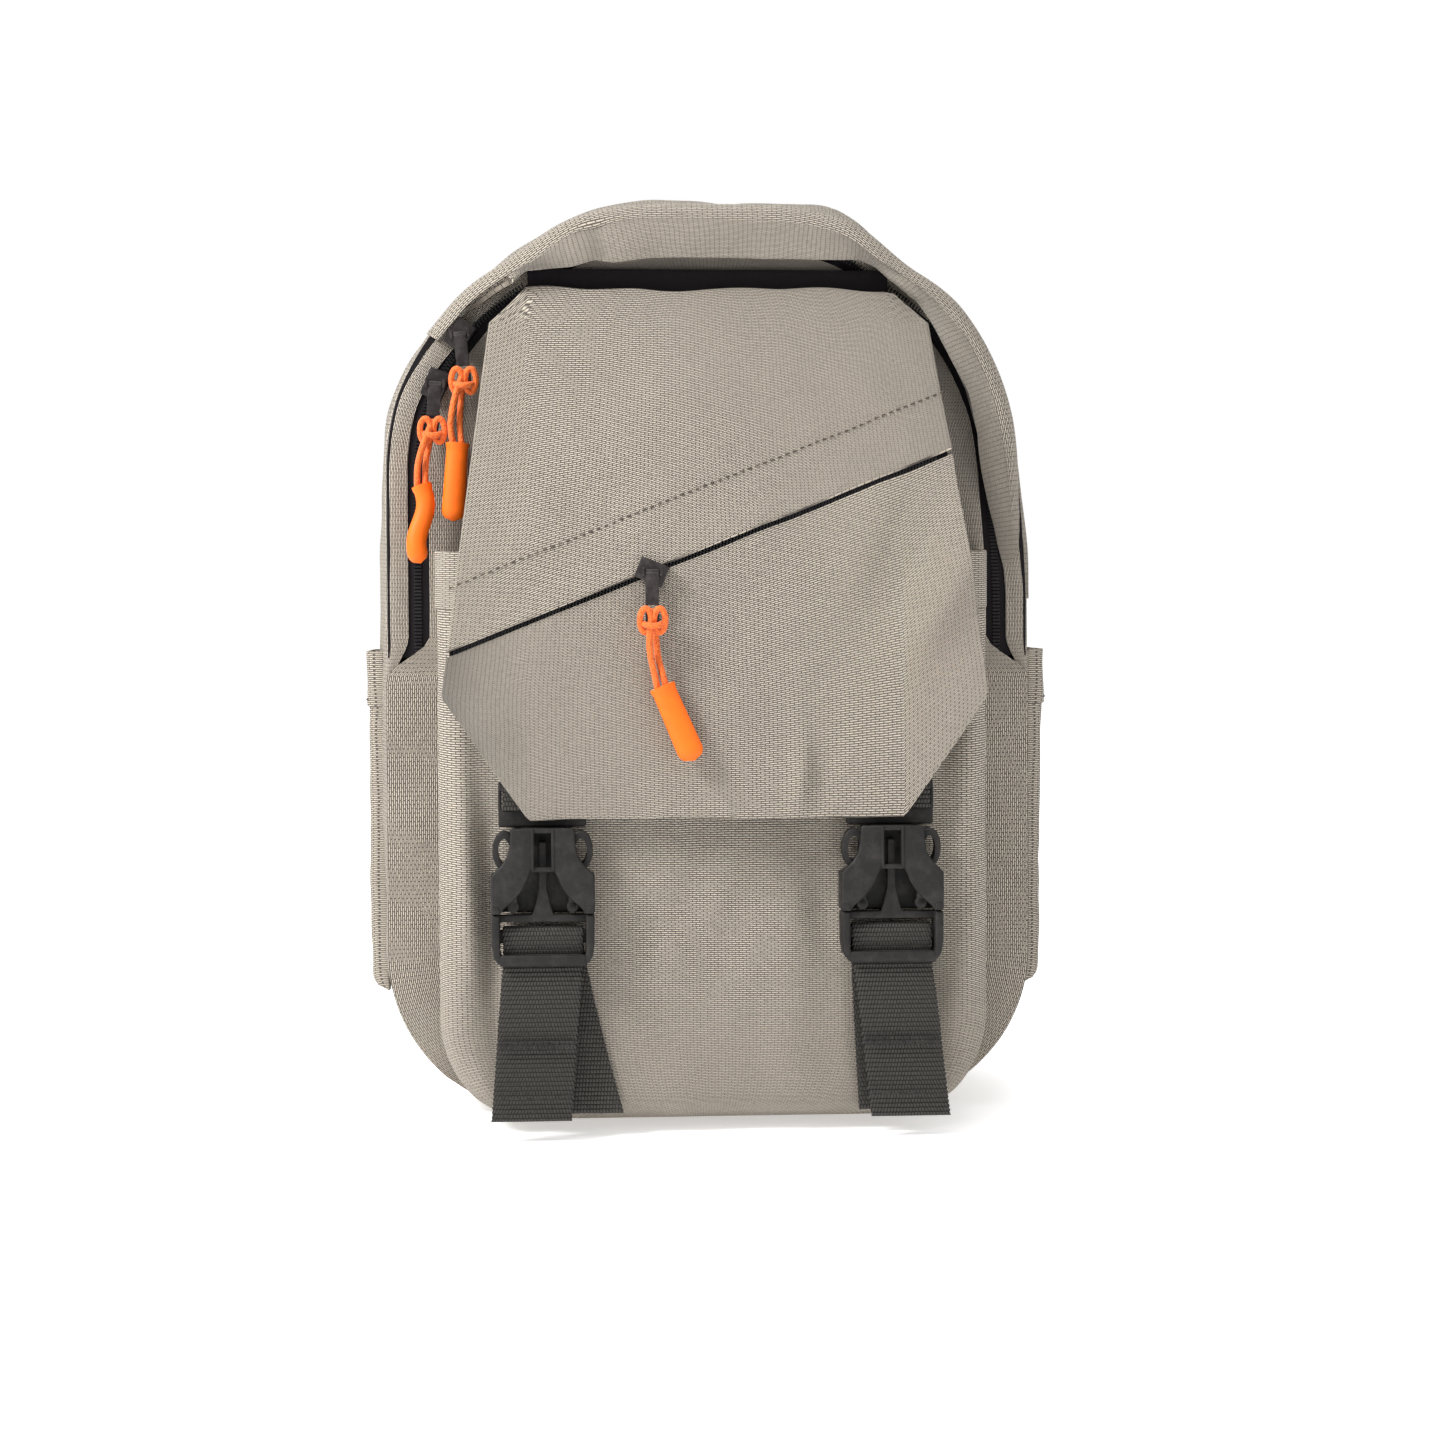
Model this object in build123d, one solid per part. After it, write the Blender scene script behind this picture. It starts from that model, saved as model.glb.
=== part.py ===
"""A compact front-flap daypack, as the pieces that it is sewn and assembled from.

Frame: +Z up, the front faces -Y, +X is to the right as seen from the front. The origin is
the middle of the flat base of the main compartment. All sizes are in millimetres.
"""
from build123d import *
from math import atan2, cos, degrees, radians, sin, tan
import os

# ---------------------------------------------------------------- driving dimensions
half_width = 125.0  # main compartment, half of its width
height = 352.0  # main compartment, floor to the top of the arch
base_depth = 82.0  # main compartment, front to back at the floor
lean = 4.0  # degrees that the front leans back
corner_radius = 62.0  # bottom corners of the main compartment
arch_start = height - 106.0  # height where the straight sides become the arch
crown_half_flat = 20.0  # half of the short flat on top of the arch
wall = 3.0  # lined fabric wall
skin = 1.6  # single fabric layer
back_thickness = 4.0  # stiffened back panel
pad_thickness = 8.0  # foam back pad
webbing_width = 30.0  # front strap webbing
webbing_thickness = 1.5
tape_width = 11.0  # one side of the main zip tape
tape_thickness = 1.2
coil_width = 2.7  # zip coil, across
coil_thickness = 1.2
zip_low_end = height / 2  # height where the main zip ends on each side
hood_split = height - 52.0  # height where the hood parts from the sides
hood_gap = 11.8  # room between the front of the zip and the hood's band
pocket_half_width = half_width - 21.0  # front pocket
pocket_depth = 33.8
pocket_height = height - 135.0
pocket_corner = 42.0
hem_height = 21.0  # side pocket hem
hem_thickness = 1.0
side_pocket_bulge = 7.5
side_pocket_top = height / 2 + 2.0
flap_hinge_out = 9.0  # flap hinge, out from the front plane
flap_hinge_up = height - 34.0
flap_bend_up = pocket_height + 4.0
flap_bottom = 116.0
flap_slope_out = 4.5  # how much further out the flap is at its bottom than at its bend
slit_low = (3.0 - pocket_half_width, flap_bottom + 61.0)  # flap pocket opening, low end
slit_high = (pocket_half_width - 24.0, flap_bottom + 133.0)  # flap pocket opening, high end
buckle_spacing = 1.25 * pocket_half_width  # between the two front buckles
buckle_thickness = 12.0
collar_half_width = 19.1
collar_bottom = 81.3
collar_height = 13.7
socket_core_half_width = 10.5
buckle_wall = 2.5
cord_diameter = 2.5
grip_length = 30.0
grip_radius = 4.3
strap_thickness = 8.0
rear_webbing_width = 25.0
clearance = 0.4  # between pieces of different bodies
bead_radius = 1.2  # rolled seam on a fold line
big = 500.0

os.makedirs("parts", exist_ok=True)
front_frame = Pos(0, -base_depth / 2, 0) * Rot(-lean, 0, 0)
back_inner = base_depth / 2 - back_thickness
back_face = base_depth / 2
pad_face = back_face + pad_thickness


def save(name, shape):
    """Write one named piece."""
    export_step(shape, f"parts/{name}.step")


def block(x_range, y_range, z_range):
    """A box between two corners."""
    size = [high - low for low, high in (x_range, y_range, z_range)]
    middle = [(high + low) / 2 for low, high in (x_range, y_range, z_range)]
    return Pos(*middle) * Box(*size)


def above(z):
    return block((-big, big), (-big, big), (z, big))


def below(z):
    return block((-big, big), (-big, big), (-big, z))


def slab(inner, outer):
    """The space between two distances out from the leaning front plane."""
    return front_frame * block((-big, big), (-outer, -inner), (-big, big))


def joined(shape):
    """One shape from the several that a cut can leave."""
    return Compound(children=list(shape)) if isinstance(shape, list) else shape


def prism(face, y_back=back_face + big, y_front=-big):
    """Extrude a face drawn in (x, z) along Y."""
    solid = extrude(joined(face), amount=y_back - y_front, dir=(0, 0, 1))
    return Pos(0, y_back, 0) * Rot(90, 0, 0) * solid


def layer(face, inner, outer):
    """A face drawn in (x, z) as a sheet that leans with the front."""
    return prism(face, 100, -250) & slab(inner, outer)


def pack_outline(inset):
    """The main compartment seen from the front, moved inwards by a distance."""
    right = half_width - inset
    radius = corner_radius - inset
    across = half_width - crown_half_flat - inset
    rise = height - arch_start - inset
    foot = half_width - corner_radius
    edges = [
        Line((-foot, inset), (foot, inset)),
        CenterArc((foot, corner_radius), radius, -90, 90),
        Line((right, corner_radius), (right, arch_start)),
        EllipticalCenterArc((crown_half_flat, arch_start), across, rise, start_angle=0, arc_size=90),
        Line((crown_half_flat, height - inset), (-crown_half_flat, height - inset)),
        EllipticalCenterArc((-crown_half_flat, arch_start), across, rise, start_angle=90, arc_size=90),
        Line((-right, arch_start), (-right, corner_radius)),
        CenterArc((-foot, corner_radius), radius, 180, 90),
    ]
    return make_face(edges)


def ring(outer, inner):
    return pack_outline(outer) - pack_outline(inner)


def polygon(points):
    return make_face(Polyline(*points, close=True))


def band(points, inner, outer):
    """A bent sheet: the space between two distances in front of a polyline in (y, z)."""
    sheet = []
    for distance in (inner, outer):
        moved = []
        for n, (y, z) in enumerate(points):
            sides = []
            if n > 0:
                sides.append((y - points[n - 1][0], z - points[n - 1][1]))
            if n < len(points) - 1:
                sides.append((points[n + 1][0] - y, points[n + 1][1] - z))
            angles = [atan2(dz, dy) for dy, dz in sides]
            middle = sum(angles) / len(angles)
            half_turn = (angles[-1] - angles[0]) / 2
            reach = distance / cos(half_turn)
            moved.append((y + reach * sin(middle), z - reach * cos(middle)))
        sheet.append(moved)
    outline = sheet[0] + sheet[1][::-1]
    face = make_face(Polyline(*[(0, y, z) for y, z in outline], close=True))
    return Pos(-250, 0, 0) * extrude(face, amount=500, dir=(1, 0, 0))


# ---------------------------------------------------------------- main compartment
gusset_ring = prism(ring(0, wall), back_inner, -150) - slab(0, big)
side_limit = half_width - corner_radius - 5
middle_box = block((-side_limit, side_limit), (-big, big), (-big, 100))
right_half = block((side_limit - 40, big), (-big, big), (-big, big))
right_body = (gusset_ring - middle_box) & right_half & below(hood_split)
save("base_panel", gusset_ring & middle_box)
save("right_side_gusset", right_body)
save("left_side_gusset", mirror(right_body, Plane.YZ))
save("back_panel", prism(pack_outline(2), back_face, back_inner))
save("back_pad", prism(pack_outline(14), pad_face, back_face) & above(20))

panel_inset = 20.0
panel_face = pack_outline(panel_inset)
front_panel = layer(panel_face, tape_thickness, tape_thickness + wall)
front_panel += layer(pack_outline(0), 0, tape_thickness + wall) & below(zip_low_end)
front_face = tape_thickness + wall
save("front_panel", front_panel)

coil_outer = tape_width + 0.3
coil_inner = coil_outer + coil_width
side_tapes = layer(ring(0, coil_outer), 0, tape_thickness) & above(zip_low_end) & below(hood_split)
save("side_zip_tapes", side_tapes)
save("front_zip_tape", layer(ring(coil_inner, panel_inset + 4), 0, tape_thickness) & above(zip_low_end))
coil = layer(ring(coil_outer, coil_inner), 0, tape_thickness + coil_thickness)
save("main_zip_coil", coil & above(zip_low_end))

# the laptop sleeve stands on the base and leans on nothing but the back panel
sleeve_half = half_width - 13.0
sleeve_room = 9.0
sleeve_top = height - 114.0
sleeve_front = back_inner - sleeve_room - wall
sleeve = block((-sleeve_half, sleeve_half), (sleeve_front, back_inner), (wall, sleeve_top))
sleeve -= block(
    (wall - sleeve_half, sleeve_half - wall), (sleeve_front + wall, big), (2 * wall, big)
)
save("laptop_sleeve", sleeve & prism(pack_outline(wall)))

# ---------------------------------------------------------------- hood over the main zip
fold_y = back_inner - 0.2
fold_z = height - 0.4
hood_base = hood_split + clearance
hood_gusset = prism(ring(0, wall), back_inner - clearance, -150) - slab(0, big)
hood_gusset &= above(hood_base)
hood_gusset += Pos(0, fold_y, fold_z) * Rot(0, 90, 0) * Cylinder(bead_radius, 2 * crown_half_flat)
save("hood_top_gusset", hood_gusset)
save("hood_zip_tape", layer(ring(0, tape_width), 0, tape_thickness) & above(hood_base))
hood_front = tape_thickness + hood_gap
edge_drops = [  # (share of the half width, drop below the top), from left to right
    (-0.856, 51), (-0.72, 40), (-0.56, 27), (0, 24), (0.528, 24), (0.696, 36), (0.768, 53),
    (0.856, 73), (0.904, 90),
]
lower_edge = [(share * half_width, height - drop) for share, drop in edge_drops]
lower_edge += [(big, height - 90), (big, big), (-big, big), (-big, hood_split + 1)]
hood_band = layer(pack_outline(0), hood_front, hood_front + wall) & prism(polygon(lower_edge))
hood_band += layer(ring(0, wall), tape_thickness, hood_front) & above(hood_base)
save("hood_band", hood_band)

# ---------------------------------------------------------------- front pocket
pocket_front = front_face + pocket_depth


def pocket_outline(inset):
    right = pocket_half_width - inset
    foot = pocket_half_width - pocket_corner
    radius = pocket_corner - inset
    edges = [
        Line((-foot, inset), (foot, inset)),
        CenterArc((foot, pocket_corner), radius, -90, 90),
        Line((right, pocket_corner), (right, pocket_height)),
        Line((right, pocket_height), (-right, pocket_height)),
        Line((-right, pocket_height), (-right, pocket_corner)),
        CenterArc((-foot, pocket_corner), radius, 180, 90),
    ]
    return make_face(edges)


def top_strip(low, high):
    return Pos(0, (low + high) / 2) * Rectangle(big, high - low)


pocket_wall = pocket_outline(0) - pocket_outline(wall) - top_strip(pocket_height - wall, big)
save("front_pocket_gusset", layer(pocket_wall, front_face, pocket_front - skin))
panel_sheet = pocket_outline(0) - top_strip(pocket_height - wall, big)
save("front_pocket_panel", layer(panel_sheet, pocket_front - skin, pocket_front))
hem_strip = pocket_outline(0) & top_strip(pocket_height - wall, big)
hem_sheet = pocket_outline(0) & top_strip(pocket_height - hem_height, pocket_height - wall)
pocket_hem = layer(hem_strip, pocket_front - skin, pocket_front + hem_thickness)
pocket_hem += layer(hem_sheet, pocket_front, pocket_front + hem_thickness)
save("front_pocket_hem", pocket_hem)

# ---------------------------------------------------------------- side pockets
side_back = 34.0
side_front = -24.0
side_low = corner_radius
bulge_x = half_width + side_pocket_bulge
side_pocket = block((half_width, bulge_x), (side_front, side_back), (side_low, side_pocket_top))
side_pocket -= block(
    (half_width - 1, bulge_x - skin), (side_front + skin, side_back - skin), (side_low + skin, big)
)
side_hem = block(
    (bulge_x, bulge_x + hem_thickness),
    (side_front, side_back),
    (side_pocket_top - hem_height, side_pocket_top),
)
for side, turn in (("right", False), ("left", True)):
    for piece, shape in (("side_pocket", side_pocket), ("side_pocket_hem", side_hem)):
        save(f"{side}_{piece}", mirror(shape, Plane.YZ) if turn else shape)

# ---------------------------------------------------------------- shoulder straps and back
strap_top = height - 20.0
strap_low = 106.0
strap_chest = strap_low + 0.64 * (strap_top - strap_low)
strap_waist = strap_low + 0.29 * (strap_top - strap_low)
strap_back = pad_face + strap_thickness
inner_edge = Spline((8, strap_top), (21, strap_chest), (37, strap_waist), (38, strap_low))
outer_edge = Spline((58, strap_top), (75, strap_chest), (91, strap_waist), (64, strap_low))
strap_face = make_face(
    [
        inner_edge,
        Line((38, strap_low), (64, strap_low)),
        outer_edge,
        Line((58, strap_top), (8, strap_top)),
    ]
)
shoulder_strap = prism(strap_face, strap_back, pad_face)
lock_x = 51.0
lock_half = rear_webbing_width / 2 + 4
lock_low = 84.0
lock_high = 112.0
lock_back = strap_back + 4
lock_bar = 4.0
ladder_lock = block((lock_x - lock_half, lock_x + lock_half), (strap_back, lock_back), (lock_low, lock_high))
slot_height = (lock_high - lock_low - 3 * lock_bar) / 2
for slot in range(2):
    slot_low = lock_low + lock_bar + slot * (slot_height + lock_bar)
    ladder_lock -= block(
        (lock_x - rear_webbing_width / 2 - 0.5, lock_x + rear_webbing_width / 2 + 0.5),
        (-big, big),
        (slot_low, slot_low + slot_height),
    )
web_top = (lock_x, 96.0)
web_foot = (half_width - 37.0, 30.0)
web_run = Vector(web_foot[0] - web_top[0], web_foot[1] - web_top[1])
web_side = Vector(-web_run.Y, web_run.X).normalized() * (rear_webbing_width / 2)
web_start, web_end = Vector(*web_top), Vector(*web_foot)
web_corners = [web_start + web_side, web_end + web_side, web_end - web_side, web_start - web_side]
web_face = polygon([(corner.X, corner.Y) for corner in web_corners])
lower_webbing = prism(web_face, strap_back, strap_back - webbing_thickness)
lower_webbing -= prism(strap_face)
wing_out = half_width - 12.0
wing_in = half_width - 55.0
wing_face = polygon([(wing_in, 16), (wing_out, 40), (wing_out, 62), (wing_in + 4, 50)])
wing = prism(wing_face, strap_back - webbing_thickness, back_face) - prism(pack_outline(14)) & prism(
    pack_outline(2)
)
wing += prism(wing_face & pack_outline(14), strap_back - webbing_thickness, pad_face)
for side, turn in (("right", False), ("left", True)):
    pieces = {
        "shoulder_strap": shoulder_strap,
        "ladder_lock": ladder_lock,
        "lower_webbing": lower_webbing,
    }
    for piece, shape in pieces.items():
        save(f"{side}_{piece}", mirror(shape, Plane.YZ) if turn else shape)
save("strap_wings", wing + mirror(wing, Plane.YZ))
yoke_half = 62.0
yoke_back = strap_back + skin
yoke_z = (strap_top - 26, strap_top - 6)
save("strap_yoke", block((-yoke_half, yoke_half), (strap_back, yoke_back), yoke_z))

# haul handle: a webbing loop that flops back over the shoulder straps
handle_y = back_face + 3.0
handle_z = height - 9.0
handle_half = 36.0
handle_reach = 44.0
handle_web = 2.2
handle_width = 20.0
handle_droop = 30.0  # degrees below level at rest
handle_frame = Pos(0, handle_y, handle_z) * Rot(-handle_droop, 0, 0)
loop_outer = RectangleRounded(2 * handle_half, 2 * handle_reach, 22)
loop_inner = RectangleRounded(2 * (handle_half - handle_width / 2), 2 * (handle_reach - handle_width), 12)
upper_half = Pos(0, handle_reach / 2) * Rectangle(big, handle_reach)
handle_loop = extrude((loop_outer - loop_inner) & upper_half, amount=handle_web / 2, both=True)
handle_loop += Rot(0, 90, 0) * Cylinder(bead_radius + 0.4, 2 * handle_half)
save("haul_handle", handle_frame * handle_loop)
anchor_low = height - 13.5
handle_anchor_y = (back_face, handle_y - bead_radius - 0.8)
handle_anchor = block((-handle_half, handle_half), handle_anchor_y, (anchor_low, height - 3))
save("handle_anchor", handle_anchor)

# ---------------------------------------------------------------- flap
flap_bend_out = pocket_front + hem_thickness + 3.0
flap_profile = [
    (-flap_hinge_out, flap_hinge_up),
    (-flap_bend_out, flap_bend_up),
    (-flap_bend_out - flap_slope_out, flap_bottom),
]
flap_top_half = pocket_half_width - 34.0
flap_edge = [
    (flap_top_half, flap_hinge_up),
    (pocket_half_width - 20, flap_hinge_up - 14),
    (pocket_half_width - 2, flap_bottom + 45),
    (flap_top_half, flap_bottom),
]
flap_outline = polygon(flap_edge + [(-x, up) for x, up in reversed(flap_edge)])
slit_slope = (slit_high[1] - slit_low[1]) / (slit_high[0] - slit_low[0])
slit_angle = atan2(slit_slope, 1)


def slit_strip(low, high):
    """The strip between two heights above the diagonal opening of the flap."""
    middle = Pos(0, slit_low[1] - slit_low[0] * slit_slope) * Rot(0, 0, degrees(slit_angle))
    return middle * Pos(0, (low + high) / 2) * Rectangle(2 * big, high - low)


def flap_piece(face, inner, outer):
    """A sheet of the flap between two distances in front of its middle surface."""
    sheet = Rot(90, 0, 0) * extrude(joined(face), amount=200, dir=(0, 0, 1))
    return front_frame * (sheet & band(flap_profile, inner, outer))


flap_lining_in = -1.4
zip_gap = 5.0
flap_bead = Pos(0, -flap_hinge_out, flap_hinge_up) * Rot(0, 90, 0) * Cylinder(2.0, 2 * flap_top_half)
upper_face = flap_outline & slit_strip(zip_gap / 2, big)
lower_face = flap_outline & slit_strip(-big, -zip_gap / 2)
save("flap_upper_panel", flap_piece(upper_face, 0, skin) + front_frame * (
    flap_bead - band(flap_profile, flap_lining_in, 0)
))
save("flap_lower_panel", flap_piece(lower_face, 0, skin))
save("flap_lining", flap_piece(flap_outline, flap_lining_in, 0))
tape_face = flap_outline & slit_strip(-zip_gap / 2, zip_gap / 2)
save("flap_zip_tape", flap_piece(tape_face, 0, 0.8))
flap_coil_face = flap_outline & slit_strip(-coil_width / 2, coil_width / 2)
flap_coil_out = 2.0
save("flap_zip_coil", flap_piece(flap_coil_face, 0.8, flap_coil_out))
binding_out = flap_hinge_out - 2.0 - 0.3
binding_face = Pos(0, flap_hinge_up) * Rectangle(2 * flap_top_half, 16)
save("flap_top_binding", layer(binding_face, front_face, binding_out))

# ---------------------------------------------------------------- zip sliders and pulls
slider_size = (8.0, 11.0, 4.0)
tab_size = (5.0, 19.0, 1.4)
tab_gap = 0.5


def slider_solid(turn, lean):
    """A slider: its body turned along the zip, and cheeks that hold the tab on its axis."""
    across, along, deep = slider_size
    body_out = tab_size[2] / 2 + tab_gap
    body = block((-across / 2, across / 2), (body_out, body_out + deep), (-along / 2, along / 2))
    body = Rot(0, turn, 0) * body
    cheek_in, cheek_out = tab_size[0] / 2 + 0.3, tab_size[0] / 2 + 1.3
    for side in (-1, 1):
        x_range = sorted((side * cheek_in, side * cheek_out))
        body += Rot(0, lean, 0) * block(x_range, (-1.2, body_out), (-1.6, 1.6))
    return body


def tab_solid():
    """A pull tab hanging from its axis, with a round top and a hole for the cord."""
    across, along, deep = tab_size
    tab = block((-across / 2, across / 2), (-deep / 2, deep / 2), (-along, 0))
    tab += Rot(0, 90, 0) * Cylinder(0.95, across)
    hole = block((-1.6, 1.6), (-deep, deep), (2.2 - along, 6.6 - along))
    return tab - hole


def grip_solid(mouth, tip):
    """A moulded rubber grip from its mouth to its tip, wider towards the rounded tip."""
    mouth_radius = 3.2
    profile = make_face(
        [
            Line((0, 0), (mouth_radius, 0)),
            Line((mouth_radius, 0), (grip_radius, grip_length - grip_radius)),
            CenterArc((0, grip_length - grip_radius), grip_radius, 0, 90),
            Line((0, grip_length), (0, 0)),
        ]
    )
    solid = revolve(Rot(90, 0, 0) * profile, Axis.Z)
    direction = (Vector(*tip) - Vector(*mouth)).normalized()
    return Plane(origin=mouth, z_dir=direction) * Location() * solid


def cord_solid(name, points):
    """A thin cord through the points, its corners as round as its runs allow."""
    spots = [Vector(*point) for point in points]
    radii = []
    for before, here, after in zip(spots, spots[1:], spots[2:]):
        run_in, run_out = here - before, after - here
        turn = radians(run_in.get_angle(run_out))
        radii.append(0.45 * min(run_in.length, run_out.length) / tan(turn / 2))
    print(name, "radii", [round(radius, 1) for radius in radii])
    path = FilletPolyline(*points, radius=radii)
    start = Plane(origin=path @ 0, z_dir=path % 0)
    tube = sweep(start * Circle(cord_diameter / 2), path=path)
    print(name, "length", round(path.length, 1), "volume", round(tube.volume, 1))
    return tube


def local_to_front(point):
    spot = front_frame * Pos(*point)
    return tuple(spot.position)


def step_from(axis, step):
    """A point a step away from a pull's axis."""
    return local_to_front([a + b for a, b in zip(axis, step)])


# each pull: the axis of its tab, its lean about Y, and its cord and grip as steps from that axis
flap_pull_x = -24.0
flap_pull_up = slit_low[1] + (flap_pull_x - slit_low[0]) * slit_slope
flap_pull_y = -flap_bend_out - 8.0
pulls = {
    "flap": {
        "axis": (flap_pull_x, flap_pull_y, flap_pull_up),
        "lean": 0.0,
        "slide_turn": 90.0 - degrees(slit_angle),
        "cord": [
            (1.8, -1.5, -43.6), (0.6, -1.6, -37.6), (-1.0, -2.4, -31.1), (-1.4, -3.2, -23.1),
            (0.0, -3.3, -14.7), (0.0, 3.3, -14.7), (1.4, 3.0, -23.1), (1.8, 1.0, -31.1),
            (3.6, -1.0, -37.6), (5.0, -1.5, -43.0),
        ],
        "grip": ((3.4, -1.5, -42.3), (15.2, -2.8, -69.9)),
    },
    "upper": {
        "axis": (29.5 - half_width, -9.8, height - 52.0),
        "lean": -6.0,
        "slide_turn": -35.0,
        "cord": [
            (-2.5, -3.8, -43.0), (-3.7, -4.2, -37.4), (-3.2, -4.6, -31.0), (-1.7, -3.4, -23.4),
            (1.5, -3.2, -14.7), (1.5, 3.2, -14.7), (0.5, 1.8, -23.4), (-0.1, -0.8, -31.0),
            (-0.1, -2.8, -37.4), (0.6, -3.8, -43.0),
        ],
        "grip": ((-0.9, -3.8, -42.0), (-2.9, -4.8, -71.9)),
    },
    "lower": {
        "axis": (20.0 - half_width, -9.8, height - 71.0),
        "lean": 4.0,
        "slide_turn": -22.0,
        "cord": [
            (-6.8, -3.8, -40.0), (-7.0, -4.2, -34.0), (-5.8, -5.2, -28.0), (-3.8, -4.4, -21.8),
            (-1.0, -3.2, -14.7), (-1.0, 3.2, -14.7), (-2.2, 1.8, -21.8), (-3.4, -0.8, -28.0),
            (-3.9, -3.0, -34.0), (-3.8, -3.8, -40.0),
        ],
        "grip": ((-5.3, -3.8, -39.0), (-5.6, -6.2, -68.9)),
    },
}
for name, pull in pulls.items():
    place = front_frame * Pos(*pull["axis"])
    save(f"{name}_zip_slider", place * slider_solid(-pull["slide_turn"], pull["lean"]))
    save(f"{name}_zip_tab", place * Rot(0, pull["lean"], 0) * tab_solid())
    mouth, tip = [step_from(pull["axis"], step) for step in pull["grip"]]
    save(f"{name}_pull_grip", grip_solid(mouth, tip))
    save(f"{name}_pull_cord", cord_solid(name, [step_from(pull["axis"], step) for step in pull["cord"]]))
    print(name, "tab axis", [round(v, 2) for v in local_to_front(pull["axis"])])

# ---------------------------------------------------------------- side-release buckles
socket_back = pocket_front + 1.2
socket_front = socket_back + buckle_thickness
cavity = (-(socket_front - buckle_wall), -(socket_back + buckle_wall))
collar_top = collar_bottom + collar_height
core_top = 113.0
end_wall = 1.8
end_wall_half = 8.0
hanger_top = 130.0
hanger_slot = (120.0, 126.0)
sewn_top = 158.0
hanger_thickness = 4.2
collar_inner = collar_half_width - buckle_wall - 0.3
middle_y = -(socket_back + socket_front) / 2
arm_half_thick = (cavity[1] - cavity[0]) / 2 - 0.6


def socket_solid():
    y_range = (-socket_front, -socket_back)
    body = block((-collar_half_width, collar_half_width), y_range, (collar_bottom, collar_top))
    body += block((-socket_core_half_width, socket_core_half_width), y_range, (collar_top, core_top))
    hanger_half = webbing_width / 2 + 1.5
    hanger_y = (-socket_back - hanger_thickness, -socket_back)
    body += block((-hanger_half, hanger_half), hanger_y, (core_top, hanger_top))
    body -= block((-collar_inner, collar_inner), cavity, (0, collar_top))
    body -= block((-big, big), cavity, (collar_top, core_top))
    body += block((-end_wall_half, end_wall_half), y_range, (core_top - end_wall, core_top))
    body -= block((-webbing_width / 2, webbing_width / 2), (-big, big), hanger_slot)
    body -= block((-2.3, 2.3), (-socket_front - 1, cavity[0] + 1), (collar_top + 2, core_top - 2))
    window = Pos(0, -socket_front, collar_bottom) * Rot(90, 0, 0) * Cylinder(9, 2 * buckle_wall + 1)
    return body - window


frame_top = 80.9
frame_low = 62.0
ladder_low, ladder_high = 70.0, 75.5
bottom_bar_high = 65.5
plug_half = collar_half_width


def plug_frame_solid():
    """The adjuster end of the plug: rails, a ladder bar, a bottom bar and the centre rib."""
    y_range = (-socket_front, -socket_back - 1.0)
    opening = webbing_width / 2 + 0.8
    frame = block((-plug_half, plug_half), y_range, (frame_low, frame_top))
    frame = fillet(frame.edges().filter_by(Axis.Y).group_by(Axis.Z)[0], 3.5)
    frame -= block((-opening, opening), (-big, big), (frame_low + 0.5 - 5, frame_top - 3))
    bar_x = (-opening - 0.5, opening + 0.5)
    frame += block(bar_x, (middle_y - 2.2, middle_y + 2.2), (ladder_low, ladder_high))
    front_bar = (-socket_front, -socket_front + 2.0)
    frame += block(bar_x, front_bar, (frame_low, bottom_bar_high))
    rib = block((-1.5, 1.5), (middle_y - 2, middle_y + 2), (frame_top, 108))
    return frame + rib


arm_root = (11.0, 83.8)


def arm_solid():
    """One release arm, on the right of its plug: a root, a prong and an oval pad."""
    thick = 2 * arm_half_thick
    root = Cylinder(2.2, thick)
    prong = Pos(0, 9) * Rectangle(3.6, 18)
    pad_place = Pos(3.2, 20.8)
    sheet = prong + pad_place * Ellipse(4.4, 7.5) - pad_place * Ellipse(2.0, 4.7)
    arm = extrude(sheet, amount=arm_half_thick, both=True) + root
    return Pos(arm_root[0], middle_y, arm_root[1]) * Rot(90, 0, 0) * arm


sewn_web_y = (-pocket_front - 1.2 - webbing_thickness + 0.2, -pocket_front - 1.0)
front_web_y = (-socket_front + 2.2, -socket_front + 2.2 + webbing_thickness)
web_turn = ladder_high + 0.4


def front_webbing_solid():
    """One webbing: up from the bottom seam, over the ladder bar, and its tail down the front."""
    half = webbing_width / 2
    web = block((-half, half), sewn_web_y, (6, web_turn))
    web += block((-half, half), front_web_y, (3.6, web_turn))
    web += block((-half, half), (front_web_y[0], sewn_web_y[1]), (web_turn, web_turn + webbing_thickness))
    foot = block((-half, half), (sewn_web_y[0], -pocket_front), (6, 14))
    return web + foot


def socket_webbing_solid(x):
    """The webbing sewn inside the flap, with its fold through the slot of the socket."""
    low = hanger_slot[0] - 0.5
    face = Pos(x, (low + sewn_top) / 2) * Rectangle(webbing_width, sewn_top - low)
    sheet = flap_piece(face, flap_lining_in - 1.0, flap_lining_in)
    half = webbing_width / 2 - 0.3
    hanger_y = (-socket_back - hanger_thickness - 0.7, -socket_back - 0.2)
    fold = block((x - half, x + half), hanger_y, (hanger_slot[0] + 0.4, hanger_slot[1] - 0.4))
    return sheet + front_frame * fold


for side, sign in (("left", -1), ("right", 1)):
    x = sign * buckle_spacing / 2
    place = front_frame * Pos(x, 0, 0)
    save(f"{side}_buckle_socket", place * socket_solid())
    save(f"{side}_socket_webbing", socket_webbing_solid(x))
    save(f"{side}_plug_frame", place * plug_frame_solid())
    save(f"{side}_front_webbing", place * front_webbing_solid())
    outer, inner = arm_solid(), mirror(arm_solid(), Plane.YZ)
    save(f"{side}_plug_right_arm", place * outer)
    save(f"{side}_plug_left_arm", place * inner)
    for arm_sign in (-1, 1):
        spot = local_to_front((x + arm_sign * arm_root[0], middle_y, arm_root[1]))
        print(side, "arm axis", [round(v, 2) for v in spot])

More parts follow.
